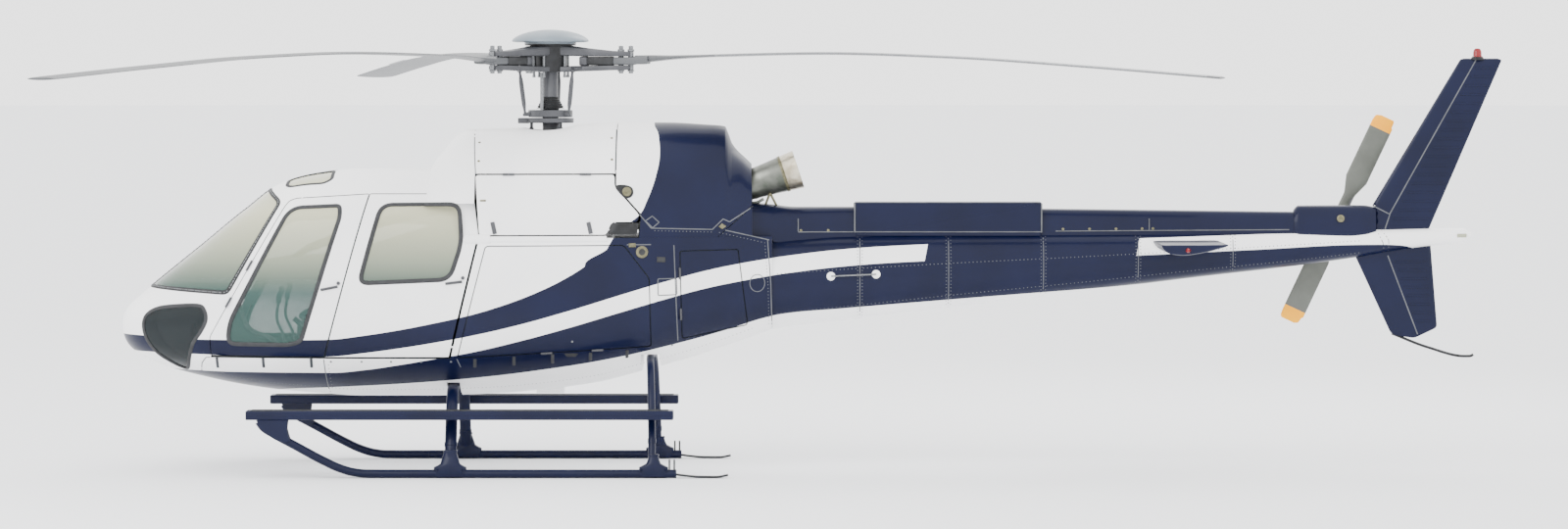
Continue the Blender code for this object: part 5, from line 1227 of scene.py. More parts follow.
# %% Star, pins, springs and blades
star, sleeves, springs = [], [], []
for number, heading in enumerate(AZIMUTHS, 1):
    out, lead = azimuth(heading), azimuth(heading + 90)
    star.append(arm(((0.0, 0.098, 3.27, 3.362), (0.11, 0.088, 3.27, 3.36), (0.3, 0.066, 3.268, 3.334),
                     (0.5, 0.058, 3.267, 3.312), (0.62, 0.054, 3.267, 3.306), (0.655, 0.04, 3.27, 3.303)),
                    heading))
    star.append(arm(((0.0, 0.098, 3.142, 3.19), (0.11, 0.088, 3.144, 3.19), (0.3, 0.066, 3.15, 3.194),
                     (0.5, 0.058, 3.157, 3.198), (0.62, 0.054, 3.16, 3.198), (0.655, 0.04, 3.163, 3.195)),
                    heading))
    star.append(arm(((0.245, 0.044, 3.196, 3.264), (0.262, 0.05, 3.192, 3.268), (0.3, 0.05, 3.192, 3.268),
                     (0.312, 0.044, 3.196, 3.264)), heading))
    springs.append(arm(((0.3, 0.046, 3.2, 3.262), (0.32, 0.052, 3.196, 3.266), (0.5, 0.052, 3.196, 3.266),
                        (0.52, 0.046, 3.2, 3.262)), heading))
    for r in (0.575, 0.655):
        sleeves.append(upright(out * r, ((0.013, 3.132), (0.018, 3.134), (0.018, 3.148), (0.027, 3.15),
                                         (0.027, 3.158), (0.022, 3.162), (0.022, 3.304), (0.027, 3.308),
                                         (0.027, 3.322), (0.018, 3.326), (0.018, 3.348), (0.01, 3.352))))
    for turn in (-1, 1):
        spot = out * 0.13 + lead * 0.055 * turn
        sleeves.append(upright(spot, ((0.008, 3.1), (0.013, 3.102), (0.013, 3.118), (0.01, 3.12),
                                      (0.01, 3.36), (0.015, 3.362), (0.015, 3.366)), 12))
    horn = azimuth(heading + 32) * 0.252
    start = out * 0.28 + lead * 0.02
    path = np.linspace(start, horn, 8) + (0, 0, 3.179 + GROUND)
    side_axis = np.cross(unit(horn - start), (0, 0, 1))
    star.append(oval_along(path, side_axis, 0.02, 0.012, 16, 4.0))
    blade = blade_rows(np.concatenate([np.linspace(0.69, 1.4, 30), np.linspace(1.5, 5.25, 34),
                                       (5.28, 5.31, 5.33, 5.345)]), heading)
    cuff = arm(((0.515, 0.04, 3.205, 3.257), (0.53, 0.046, 3.2, 3.262), (0.68, 0.046, 3.2, 3.262),
                (0.7, 0.05, 3.204, 3.276), (0.76, 0.056, 3.204, 3.276), (0.8, 0.06, 3.208, 3.272)), heading)
    fit("blade_%d" % number, [blade, cuff], blade_paint, ["main_blade_%d" % number], "main_rotor")
    strip = blade_rows(np.linspace(1.35, 5.24, 40), heading, 0.0, 0.09, 0.0009, 10)
    fit("blade_edge_strip_%d" % number, [strip], zinc, body="main_rotor")
    r = np.linspace(3.55, 4.05, 8)
    rows = [out * v + lead * (0.35 * 0.28 - 0.35 - w) + (0, 0, HUB + DROOP(v) + g + GROUND) for v in r
            for w, g in ((-0.03, -0.002), (0.028, -0.0012), (0.028, 0.0012), (-0.03, 0.002))]
    wear(loft("trim_tab_%d" % number, np.array(rows).reshape(8, 4, 3)), zinc, body="main_rotor")
core = upright((0, 0), ((0.078, 3.145), (0.135, 3.147), (0.135, 3.365), (0.06, 3.3655)), 36)
fit("star_hub", star, hub_paint, ["rotor_star"], "main_rotor")
fit("star_core", [core], black_anodised, body="main_rotor")
fit("hub_pins", sleeves, zinc, body="main_rotor")
fit("hub_springs", springs, black_rubber, body="main_rotor")

# %% Dome, mast, bellows and swashplates
a = np.linspace(0, np.pi / 2, 22)[1:]
lens = [(0.205, 3.3667), (0.205, 3.378), (0.272, 3.379), (0.298, 3.382), (0.3055, 3.389)]
lens += [(max(0.3045 * math.cos(v), 0.004), 3.391 + 0.0885 * math.sin(v) ** 1.25) for v in a]
fit("dome_skin", [upright((0, 0), lens, 64)], dome_paint, ["rotor_dome"], "main_rotor")
drum = upright((0, 0), ((0.15, 3.352), (0.203, 3.354), (0.203, 3.3695), (0.15, 3.3698)), 48)
fit("dome_foot", [drum], black_anodised, body="main_rotor")
pleats = [(0.112 - 0.052 * k / 12 - (0.009 if k % 2 else 0.0), 2.856 + 0.104 * k / 12) for k in range(13)]
fit("mast_bellows", [upright((0, 0), [(0.07, 2.8535)] + pleats + [(0.055, 2.964)], 40)], black_rubber,
    body="main_rotor")
tube_rows = upright((0, 0), ((0.063, 2.4512), (0.063, 2.845), (0.06, 2.85), (0.06, 3.148)), 40)
fit("mast_tube", [tube_rows], hub_paint, ["mast"], "main_rotor")
ring = upright((0, 0), ((0.145, 2.7855), (0.172, 2.7865), (0.176, 2.792), (0.176, 2.838), (0.172, 2.843),
                        (0.085, 2.8435)), 56)
links = [ring]
for heading in AZIMUTHS:
    low, high = azimuth(heading + 32) * 0.205, azimuth(heading + 32) * 0.252
    path = np.linspace(low + (0, 0, 2.8), high + (0, 0, 3.164), 9) + LIFT
    links.append(tube(path, (0.01, 0.01, 0.0165, 0.0175, 0.0175, 0.0175, 0.0165, 0.01, 0.01), 16))
    for spot, height in ((low, 2.81), (high, 3.158)):
        links.append(upright(spot, ((0.012, height - 0.016), (0.02, height - 0.013), (0.02, height + 0.004),
                                    (0.012, height + 0.007)), 16))
    links.append(arm(((0.15, 0.02, 2.794, 2.832), (0.2, 0.019, 2.796, 2.824), (0.214, 0.012, 2.799, 2.82)),
                     heading + 32))
fit("turning_swashplate", links, hub_paint, ["swashplate_turning"], "main_rotor")
rest = [upright((0, 0), ((0.15, 2.7405), (0.181, 2.7415), (0.185, 2.747), (0.185, 2.774), (0.181, 2.7795),
                         (0.095, 2.78)), 56)]
for heading in (60.0, 180.0, 300.0):
    spot = azimuth(heading) * 0.15
    rest.append(upright(spot, ((0.01, 2.452), (0.018, 2.454), (0.018, 2.7), (0.012, 2.706), (0.012, 2.745)),
                        16))
rest.append(slab(box_outline(-0.257, -0.165, 2.737, 2.78, 0.008), -0.03, 0.03, edge=0.004))
fit("fixed_swashplate", rest, hub_paint, ["swashplate_fixed"])
rod = [tube(np.linspace((-0.0625, -0.105, 2.846), (-0.0625, -0.105, 3.14), 6) + LIFT, 0.0145)]
fit("scissor_rod", rod, zinc, body="main_rotor")
print("rotor head made")

# %% [markdown]
# ## Tail rotor and exhaust
# The tail rotor is two blades on one plank that flexes. The exhaust is a stainless pipe, browned by heat,
# with a bright clamp at its mouth and soot inside.

# %% Tail rotor
tips = np.array(((5.849, 1.174), (6.607, 2.787)))
reach = unit(tips[1] - tips[0])
tip = np.array((reach[0], 0.0, reach[1]))
across = np.cross((0, 1, 0), tip)
middle = np.array((ROTOR_X, 0.3885, ROTOR_Z))
SHARES = (-1.0, -0.985, -0.93, -0.925, -0.39, -0.245, 0.245, 0.39, 0.925, 0.93, 0.985, 1.0)
FRONT = (0.04, 0.07, 0.08, 0.09, 0.09, 0.045, 0.045, 0.09, 0.09, 0.08, 0.078, 0.07)
REAR = (-0.07, -0.085, -0.09, -0.09, -0.09, -0.045, -0.045, -0.09, -0.09, -0.09, -0.08, -0.04)
THICK = (0.005, 0.007, 0.01, 0.01, 0.014, 0.02, 0.02, 0.014, 0.01, 0.01, 0.007, 0.005)


def plank(low, high, count):
    """Flat ovals along the tail rotor's blade line between two shares of its radius."""
    share = np.linspace(low, high, count)
    front, rear, half = (np.interp(share, SHARES, v)[:, None] for v in (FRONT, REAR, THICK))
    c, s = superellipse(full_turn(24), 2.2)
    x = (front - rear) / 2 * c + (front + rear) / 2
    at = middle + share[:, None, None] * 0.9 * tip
    return at + x[..., None] * across + (half * s)[..., None] * (0, 1, 0)


fit("tail_blades", [plank(-0.88, 0.88, 80)], tail_paint, ["tail_rotor_blades"], "tail_rotor")
fit("tail_blade_tips", [plank(-1.0, -0.8795, 12), plank(0.8795, 1.0, 12)], yellow_paint, body="tail_rotor")
hub = [turned(((0.04, 0.2005), (0.055, 0.215), (0.055, 0.235), (0.036, 0.245), (0.036, 0.33), (0.06, 0.338),
               (0.062, 0.352), (0.062, 0.37), (0.05, 0.376)), (ROTOR_X, 0, ROTOR_Z), (0, 1, 0)),
       turned(((0.05, 0.4), (0.05, 0.408), (0.03, 0.416), (0.01, 0.419)), (ROTOR_X, 0, ROTOR_Z), (0, 1, 0))]
for turn in (-1, 1):
    start = np.array((ROTOR_X, 0.29, ROTOR_Z)) + tip * 0.045 * turn + across * 0.03
    end = np.array((ROTOR_X, 0.378, ROTOR_Z)) + tip * 0.2 * turn + across * 0.03
    hub.append(tube(np.linspace(start, end, 6), 0.007, 10))
fit("tail_hub", hub, hub_paint, ["tail_rotor_hub"], "tail_rotor")

# %% Exhaust
path = curve_through(((1.335, 0, 2.175), (1.62, 0, 2.262), (1.964, -0.095, 2.376)), 30) + LIFT
share = np.linspace(0, 1, 30)
radius = smooth_line((0.0, 0.4, 1.0), (0.112, 0.12, 0.154))(share)
radius = radius + 0.0035 * np.exp(-((share - 0.42) / 0.02) ** 2)
outside = oval_along(path, (0, 1, 0), radius, radius, 48)
inside = oval_along(path[6:], (0, 1, 0), radius[6:] - 0.004, radius[6:] - 0.004, 48)[::-1]
pipe = outward(bundle("exhaust_skin", [np.concatenate([outside, inside])]))
share = np.array([face.vertices[0] // 48 for face in pipe.data.polygons])
slots = np.where(share >= 30, 1, np.where(share >= 24, 2, 0))
wear(pipe, (hot_steel, soot, tan_steel), ["exhaust_pipe"])
pipe.data.polygons.foreach_set("material_index", slots.astype(np.int32))
stays = [oval_along(path[23:25], (0, 1, 0), radius[23:25] + 0.004, radius[23:25] + 0.004, 48)]
for side in (-1, 1):
    for x, y, height in ((1.7, 0.06, 2.08), (1.8, 0.04, 2.07)):
        stays.append(tube(np.linspace((1.74, side * 0.085, 2.185), (x, side * y, height), 5) + LIFT, 0.009,
                          10))
fit("exhaust_stays", stays, olive_metal)
drain = curve_through(((1.56, -0.045, 2.1), (1.64, -0.05, 2.112), (1.69, -0.052, 2.14)), 14) + LIFT
fit("drain_tube", [tube(drain, 0.012)], hot_steel)
print("tail rotor and exhaust made")

# %% [markdown]
# ## Landing gear
# Bent steel tubes pass through the belly and stand in bell-shaped saddles on two skid tubes. A long step
# hangs on each side. Each tube is an oval carried along its centre line.

# %% Cross tubes, skids and steps
TRACK, SKID_R = 1.085, 0.033
FRONT_LINE = ((0.0, 0.69), (0.5, 0.69), (0.66, 0.668), (0.8, 0.565), (0.9, 0.42), (1.0, 0.225),
              (TRACK, 0.075))
REAR_LINE = ((0.0, 0.905), (0.42, 0.905), (0.58, 0.87), (0.74, 0.735), (0.88, 0.5), (1.0, 0.27),
             (TRACK, 0.075))


def cross_line(x_top, x_foot, line, count=90):
    """The whole cross tube's path: half its line mirrored, its x leaning out from 0.5 m off the middle."""
    half = np.array([(x_top + (x_foot - x_top) * np.clip((y - 0.5) / 0.5, 0, 1), y, h) for y, h in line])
    whole = np.concatenate([half[:0:-1] * (1, -1, 1), half])
    return curve_through(whole, count) + LIFT


for name, x_top, x_foot, line, wide in (("front_cross_tube", -0.736, -0.736, FRONT_LINE, 0.046),
                                        ("rear_cross_tube", 0.8, 0.826, REAR_LINE, 0.029)):
    path = cross_line(x_top, x_foot, line)
    rows = [oval_along(path, (1, 0, 0), wide, 0.026, 28)]
    for k in (6, 83):
        rows.append(oval_along(path[k:k + 2], (1, 0, 0), wide + 0.004, 0.03, 28))
    fit(name + "_skin", rows, navy_paint, [name])

TOE = ((1.017, 0.033), (0.4, 0.033), (-0.4, 0.033), (-1.2, 0.033), (-1.395, 0.034), (-1.486, 0.045),
       (-1.6, 0.079), (-1.714, 0.132), (-1.941, 0.254), (-2.093, 0.337), (-2.184, 0.395), (-2.215, 0.44))
for side, hand, board in SIDES:
    line = [(x, side * TRACK, h) for x, h in TOE]
    path = curve_through(line, 110) + LIFT
    parts = [oval_along(path, (0, 1, 0), SKID_R, SKID_R, 24)]
    for low, high in ((-1.3, -1.02), (-0.56, 0.66)):
        on = path[(path[:, 0] > low) & (path[:, 0] < high)]
        parts.append(oval_along(on, (0, 1, 0), SKID_R + 0.0035, SKID_R, 24))
    fit("skid_tube_" + hand, parts, navy_paint, ["skid_" + hand])
    # bell-shaped saddles: ovals of half length and half width, stacked by height
    bells = []
    for x, rows in ((-0.736, ((0.012, 0.126, 0.04), (0.045, 0.128, 0.044), (0.085, 0.126, 0.044),
                              (0.1, 0.094, 0.043), (0.112, 0.076, 0.041), (0.15, 0.064, 0.038),
                              (0.193, 0.05, 0.036), (0.2, 0.054, 0.04), (0.214, 0.054, 0.04))),
                    (0.84, ((0.012, 0.112, 0.04), (0.045, 0.114, 0.044), (0.085, 0.112, 0.044),
                            (0.1, 0.08, 0.043), (0.112, 0.058, 0.041), (0.14, 0.045, 0.038),
                            (0.166, 0.038, 0.036), (0.172, 0.042, 0.04), (0.182, 0.042, 0.04)))):
        c, s = superellipse(full_turn(32), 3.0)
        bells.append(np.stack([points_at(x + a * c, side * (TRACK - max(0, h - 0.11) * 0.42) + b * s, h)
                               for h, a, b in rows]))
        for end in (-1, 1):
            spots = np.array([[x + end * 0.102, side * (TRACK + 0.043), 0.066 + GROUND]])
            bells.append(studs(spots, [(0, side, 0)], 0.01, 0.008, 10)[0])
    fit("skid_saddles_" + hand, bells, navy_paint)
    # the flexible strip behind each skid, its block, and the two prongs of the wheel fitting
    strip = curve_through(((1.005, 0.03), (1.06, 0.022), (1.2, 0.01), (1.33, 0.009), (1.418, 0.024)), 20)
    path = points_at(strip[:, 0], side * TRACK, strip[:, 1])
    bits = [oval_along(path, (0, 1, 0), 0.03, 0.008, 16, 6.0)]
    for x in (0.963, 1.001):
        post = np.linspace((x, side * TRACK, 0.05), (x, side * TRACK, 0.143), 4) + LIFT
        bits.append(oval_along(post, (1, 0, 0), 0.007, 0.02, 12, 5.0))
    fit("skid_heel_" + hand, bits, black_anodised)

    # the step: a box section with broken edges, a ribbed tread, end caps and struts
    section = rounded(((0.935, 0.452), (1.135, 0.452), (1.135, 0.5225), (0.935, 0.5225)), 0.01, 4) * (side, 1)
    ribs = [slab(section, -2.317, 0.994, LIFT, (0, 1, 0), (0, 0, 1), 0.006)]
    seam = points_at(np.linspace(-2.31, 0.985, 30), side * 1.1354, 0.487)
    ribs.append(carried(seam, np.tile((0.0, float(side), 0.0), (30, 1)), arched_section(0.01, 0.0022)))
    fit("step_box_" + hand, ribs, navy_paint, ["step_" + hand])
    tread = []
    for y in np.linspace(0.955, 1.115, 7):
        seam = points_at(np.linspace(-2.28, 0.955, 12), side * y, 0.5222)
        tread.append(carried(seam, np.tile((0.0, 0.0, 1.0), (12, 1)), arched_section(0.008, 0.0024)))
    fit("step_tread_" + hand, tread, black_rubber)
    struts = []
    for x, reach, spread_x in ((-0.736, 0.868, 0.024), (0.815, 0.893, 0.02)):
        for shift in (-spread_x, spread_x):
            path = np.linspace((x + shift, side * reach, 0.487), (x + shift, side * 0.96, 0.487), 4) + LIFT
            struts.append(oval_along(path, (1, 0, 0), 0.01, 0.018, 14, 4.0))
    bracket = rounded(((-2.235, 0.4515), (-1.99, 0.4515), (-1.998, 0.385), (-1.985, 0.335), (-1.97, 0.29),
                       (-2.01, 0.275), (-2.09, 0.3), (-2.15, 0.34), (-2.205, 0.395)), 0.006, 3)
    for low in (-0.045, 0.037):
        struts.append(slab(bracket, -low - 0.008, -low, (0, side * TRACK, GROUND), edge=0.002))
    bolts = points_at((-2.133, -2.01), side * TRACK + 0.0445, (0.345, 0.3))
    struts += studs(bolts, np.tile((0.0, 1.0, 0.0), (2, 1)), 0.011, 0.007, 12)
    fit("step_brackets_" + hand, struts, navy_paint)
# clamps where the front tube leaves the belly
outline = box_outline(-0.8, -0.672, 0.655, 0.725, 0.012)
clamps = [slab(outline, -y - 0.02, -y + 0.02, edge=0.004) for y in (-0.43, 0.43)]
fit("tube_clamps", clamps, black_anodised)
print("landing gear made")

# %% [markdown]
# ## Joints, handles and straps
# Panels meet in sealed joints about 6 mm wide. Handles, latches, straps and caps are small, but they are what
# tells a helicopter from a toy, so each is laid at its place on the skin, on both sides.


# %% Small pieces on the skin
def line_on_skin(path, side, width=0.008, lift=0.0008):
    """A flat ribbon along a path in the side view."""
    return on_skin(path, side, flat_section(width, lift))


def bar_on_skin(path, side, width, height, step=0.02):
    """A half-round bar along a path in the side view."""
    return on_skin(path, side, arched_section(width, height), step=step)


def plate_on_skin(outline, side, lift):
    """A plate that follows the skin: its outline sunk 4 mm, at its lift, and drawn in on top."""
    outline = np.asarray(outline, float)
    middle = outline.mean(0)
    rows = []
    for share, out in ((1.0, -0.004), (1.0, lift * 0.7), (0.97, lift), (0.5, lift), (0.02, lift)):
        points, normals = side_points(middle + (outline - middle) * share, side)
        rows.append(points + normals * out)
    return np.stack(rows)


def disc(x, height, radius, squeeze=1.0, count=24):
    """A circle's points in the side view."""
    turn = full_turn(count)
    return np.stack([x + radius * np.cos(turn), height + radius * squeeze * np.sin(turn)], -1)


def loop_on_skin(outline, side, width=0.008):
    """A flat ribbon round a closed outline."""
    return on_skin(outline, side, flat_section(width, 0.0008), True, 0.02)


JOINTS = (
    ((-2.729, 0.775), (-2.709, 0.87), (-2.672, 0.912), (-2.64, 0.914)),
    ((-1.736, 0.905), (-1.717, 0.63)),
    ((0.721, 2.034), (0.813, 1.925), (1.289, 1.91), (1.373, 1.991), (1.423, 1.968), (1.637, 2.105)),
    ((1.389, 1.903), (1.735, 1.822)),
    ((1.722, 1.82), (1.747, 1.476), (1.7555, 1.126)),
    ((-0.587, 2.684), (-0.556, 2.347)),
    ((0.532, 2.69), (0.532, 2.36)),
    ((0.626, 1.797), (0.812, 1.797)),
    ((0.99, 1.79), (1.02, 1.04)),
    ((-0.696, 0.91), (-0.669, 0.844)),
)
TAIL_BANDS = (((6.542, 1.891), (6.589, 1.796), (6.603, 1.721)),
              ((6.584, 1.891), (6.636, 1.815), (6.636, 1.729)))
BOOM_FRAMES = (2.45, 3.15, 3.9, 4.65, 5.4)
STEP_CUP = ((0.135, 0.952), (0.247, 0.951), (0.227, 0.924), (0.155, 0.925))
STRAPS = ((-2.585, 0.913, 0.832), (-2.215, 0.918, 0.839), (-1.835, 0.921, 0.842))
BAGGAGE_STRAPS = ((-0.559, 0.927, 0.844), (-0.255, 0.946, 0.859), (0.044, 0.962, 0.874),
                  (0.338, 0.972, 0.893), (0.622, 0.988, 0.911))
FILLER = ((0.866, 1.53), (1.01, 1.531), (1.014, 1.405), (0.868, 1.4))
BRAID = ((0.821, 2.019), (0.875, 1.97), (0.824, 1.928), (0.769, 1.982))
LATCH = ((1.335, 1.93), (1.362, 1.957), (1.397, 1.934), (1.366, 1.911))
INTAKE = ((0.507, 1.967), (0.716, 1.966), (0.703, 1.874), (0.475, 1.876))
SILL_DOTS = ((-1.68, 0.887), (-1.44, 0.888), (-1.21, 0.888), (-0.976, 0.888), (-0.743, 0.888),
             (0.974, 1.004), (0.201, 1.044))
DECK_DOTS = ((-0.54, 2.591), (-0.536, 2.448), (0.497, 2.625), (0.503, 2.459))
COVER_DOTS = np.array(((1.985, 1.892), (2.201, 1.892), (4.059, 1.901), (4.269, 1.902), (4.479, 1.903),
                       (4.685, 1.904), (4.771, 1.905)))
for side, hand, board in SIDES:
    lines = [line_on_skin(path, side) for path in JOINTS]
    lines += [loop_on_skin(rounded(FILLER, 0.01, 3), side), loop_on_skin(BRAID, side),
              loop_on_skin(disc(1.641, 1.485, 0.059, 1.15), side, 0.006)]
    lines += [line_on_skin(path, side, 0.006) for path in TAIL_BANDS]
    for station in BOOM_FRAMES:
        top, bottom = boom_lines[0](station) - 0.012, boom_lines[1](station) + 0.006
        lines.append(line_on_skin(((station, top), (station, bottom)), side, 0.006))
    fit("joint_lines_" + hand, lines, sealant)

    for label, bar, boss, body_name in (
            ("front_handle_", ((-1.75, 1.451), (-1.619, 1.477)), (-1.613, 1.503), board + "_front_door"),
            ("slide_handle_", ((-0.78, 1.5), (-0.651, 1.516)), (-0.645, 1.545), "airframe")):
        grip = bar_on_skin(bar, side, 0.022, 0.016)
        fit(label + hand, [grip, plate_on_skin(disc(*boss, 0.014), side, 0.01)], hub_paint, body=body_name)

    straps = [bar_on_skin(((x, low), (x, high)), side, 0.022, 0.006, 0.012) for x, high, low in STRAPS]
    fit("sill_latches_" + hand, straps, belt_web)
    straps = [bar_on_skin(((x, low), (x + 0.003, high - 0.016)), side, 0.026, 0.006, 0.012)
              for x, high, low in BAGGAGE_STRAPS]
    fit("locker_straps_" + hand, straps, seal_rubber)

    latches = [bar_on_skin(((-0.418, 1.976), (-0.398, 1.885)), side, 0.034, 0.012),
               bar_on_skin(((0.326, 1.974), (0.346, 1.885)), side, 0.034, 0.012)]
    fit("cowl_latches_" + hand, latches, hub_paint, body=board + "_cowl_door")
    dark = [plate_on_skin(rounded(INTAKE, 0.012, 3), side, 0.004),
            plate_on_skin(rounded(STEP_CUP, 0.006, 3), side, 0.003),
            bar_on_skin(((0.858, 1.681), (0.922, 1.678)), side, 0.042, 0.006)]
    fit("side_intake_" + hand, dark, black_rubber)
    grille = [line_on_skin(((0.5 + 0.012 * k, 1.888 + 0.014 * k), (0.696 + 0.002 * k, 1.888 + 0.014 * k)),
                           side, 0.006, 0.0065) for k in range(6)]
    fit("intake_louvres_" + hand, grille, black_anodised)
    olive = [plate_on_skin(LATCH, side, 0.005), plate_on_skin(disc(0.742, 1.739, 0.047), side, 0.006),
             bar_on_skin(((0.64, 1.793), (0.692, 1.793)), side, 0.034, 0.008),
             bar_on_skin(((-0.516, 2.143), (-0.47, 2.143)), side, 0.016, 0.004)]
    fit("filler_fittings_" + hand, olive, olive_metal)
    core = [plate_on_skin(disc(0.742, 1.739, 0.025), side, 0.0085)]
    fit("filler_core_" + hand, core, black_rubber)

    # landing lamp: an olive lens in a black teardrop
    drop = smooth_loop(((0.533, 2.249), (0.6, 2.262), (0.662, 2.24), (0.672, 2.19), (0.64, 2.16),
                        (0.595, 2.17)), 6)
    fit("lamp_frame_" + hand, [plate_on_skin(drop, side, 0.006)], black_anodised)
    fit("lamp_lens_" + hand, [plate_on_skin(disc(0.622, 2.208, 0.036), side, 0.011)], olive_metal)

    spots = [side_points(np.array(places), side) for places in (SILL_DOTS, DECK_DOTS)]
    fit("sill_studs_" + hand, studs(*spots[0], 0.009, 0.003, 10), zinc)
    cover = points_at(COVER_DOTS[:, 0], side * (spine_lines[1](COVER_DOTS[:, 0]) + 0.0005), COVER_DOTS[:, 1])
    heads = studs(*spots[1], 0.011, 0.004, 10)
    heads += studs(cover, np.tile((0.0, side, 0.0), (7, 1)), 0.011, 0.004, 10)
    fit("deck_studs_" + hand, heads, olive_metal)

    # aerial rod on two white stand-offs
    ends, normals = side_points(np.array(((2.221, 1.535), (2.577, 1.55))), side)
    posts = studs(ends, normals, 0.034, 0.012, 20)
    fit("aerial_posts_" + hand, posts, white_paint)
    rod = tube(np.linspace(ends[0] + normals[0] * 0.018, ends[1] + normals[1] * 0.018, 6), 0.006, 10)
    fit("aerial_rod_" + hand, [rod], zinc)
print("joints and fittings made")

# %% Rivets
for side, hand, board in SIDES:
    rows = []
    for station in BOOM_FRAMES:
        top, bottom = boom_lines[0](station) - 0.03, boom_lines[1](station) + 0.03
        rows += [spread(((station + shift, top), (station + shift, bottom)), 0.026, False)
                 for shift in (-0.018, 0.018)]
    x = np.linspace(1.8, 6.4, 150)
    for share in (0.17, 0.6):
        rows.append(np.stack([x, boom_lines[1](x) + (boom_lines[0](x) - boom_lines[1](x)) * share], -1))
    rows += [spread(((1.7, 1.8), (1.725, 1.47), (1.733, 1.16)), 0.026, False),
             spread(((1.345, 1.885), (1.7, 1.8)), 0.028, False),
             spread(((0.842, 1.905), (1.28, 1.89)), 0.028, False)]
    x = np.linspace(-2.6, 1.6, 140)
    rows.append(np.stack([x, hull_section(x)[1] + 0.075], -1))
    rows.append(spread(((-1.7, 0.86), (-1.69, 0.67)), 0.026, False))
    places = np.concatenate(rows)
    fit("rivets_" + hand, studs(*side_points(places, side), 0.0042, 0.0012, 6), sealant)
print("rivets a side:", len(places))

# %% [markdown]
# ## Sliding door rail, box seams and small tail parts
# The rear door slides on a rail under the cowling. The raised box and the shaft cover show as separate
# sheets by their edges, so each gets a raised edge strip.

# %% Rails
for side, hand, board in SIDES:
    rail = [bar_on_skin(((-0.437, 1.843), (0.466, 1.843)), side, 0.05, 0.016, 0.03)]
    rail += [bar_on_skin(((-0.637, 1.846), (-0.437, 1.846)), side, 0.078, 0.03, 0.01)]
    fit("rail_skin_" + hand, rail, white_paint, ["door_rail_" + hand])
    grooves = [line_on_skin(((-0.43, h), (0.46, h)), side, 0.005, 0.0155 if h == 1.843 else 0.0135)
               for h in (1.836, 1.85)]
    fit("rail_grooves_" + hand, grooves, sealant)
ALONG_X, ACROSS = (1, 0, 0), (0, 1, 0)
edges = []


def cover_edge(start, end, count, axis, wide, deep):
    """A thin strip on the raised box or the shaft cover, between two places."""
    edges.append(oval_along(np.linspace(start, end, count) + LIFT, axis, wide, deep, 8))


for side in (-1, 1):
    for x in (2.411, 3.888):
        cover_edge((x, side * 0.1305, 1.875), (x, side * 0.1305, 2.105), 8, ALONG_X, 0.006, 0.002)
    cover_edge((2.415, side * 0.124, 2.1115), (3.884, side * 0.124, 2.1115), 30, ACROSS, 0.004, 0.003)
    cover_edge((2.415, side * 0.1305, 1.88), (3.884, side * 0.1305, 1.88), 30, ACROSS, 0.002, 0.004)
    far, near = np.linspace(4.0, 5.85, 40), np.linspace(1.963, 2.4, 16)
    for x, height in ((far, 1.885 + 0.006 * (far - 4.0)), (near, 1.88)):
        seam = points_at(x, side * (spine_lines[1](x) + 0.0005), height)
        edges.append(oval_along(seam, ACROSS, 0.002, 0.004, 8))
    for x in (1.963, 4.741):
        y = side * (float(spine_lines[1](x)) + 0.001)
        cover_edge((x, y, 1.885), (x, y, 1.985), 6, ALONG_X, 0.004, 0.002)
fit("cover_edges", edges, sealant)
slot_lamp = []
for side in (-1, 1):
    points, normals = side_points(np.array(((7.181, 1.849), (7.255, 1.849))), side)
    slot_lamp.append(carried(points, normals, arched_section(0.03, 0.008)))
fit("tail_lamp", slot_lamp, acrylic_with_painted_reflection)
ring = [turned(((0.03, 0.112), (0.03, 0.118), (0.022, 0.122), (0.01, 0.123)), (6.255, 0, 1.985 + GROUND),
               (0, -1, 0), 24)]
fit("gearbox_sight_glass", ring, olive_metal)
print("rails and edges made")

# %% [markdown]
# ## Hinges and hook plate
# Each door turns on short barrels on its joint's line: half of a barrel belongs to the door and the other
# half to the body. The cargo hook's plate under the rotor axis is the lowest face of the fuselage.

# %% Hinge barrels and the plate
BARREL, BARREL_R = 0.045, 0.009
BARREL_PLACES = {"front": (-0.24, 0.09), "baggage": (-0.06, 0.34), "hold": (-0.16, 0.16), "cowl": (-0.3, 0.3)}
fixed_halves = []
for joint in frame["joints"]:
    kinds = [kind for kind in BARREL_PLACES if kind in joint["name"]]
    if not kinds:
        continue
    axis = unit(joint["axis"])
    axis *= np.sign(axis[np.abs(axis).argmax()])
    halves = []
    for place in BARREL_PLACES[kinds[0]]:
        for rows, shift in ((halves, 0.5), (fixed_halves, -0.5)):
            middle = np.array(joint["pos_m"]) + axis * (place + shift * BARREL)
            half = BARREL / 2 - 0.0005
            rows.append(turned(((0.003, -half), (BARREL_R - 0.001, -half), (BARREL_R, 0.001 - half),
                                (BARREL_R, half - 0.001), (BARREL_R - 0.001, half), (0.003, half)), middle,
                               axis, 16))
    fit("hinge_halves_" + joint["child"], halves, hub_paint, body=joint["child"])
fit("hinge_halves_fixed", fixed_halves, hub_paint)
plate = slab(box_outline(-0.11, 0.11, -0.09, 0.09, 0.012), 0.0, 0.11, (0, 0, 0), v=(0, 1, 0))
fit("hook_plate", [plate], white_paint)
print("hinge halves on the body:", len(fixed_halves))

# %% [markdown]
# ## Cabin
# The seats are foam under woven cloth. Cloth simulation swells a slightly smaller pad until its cover is
# tight, and sewn channels are pressed in after that. Each shape is made once and its points are reused.


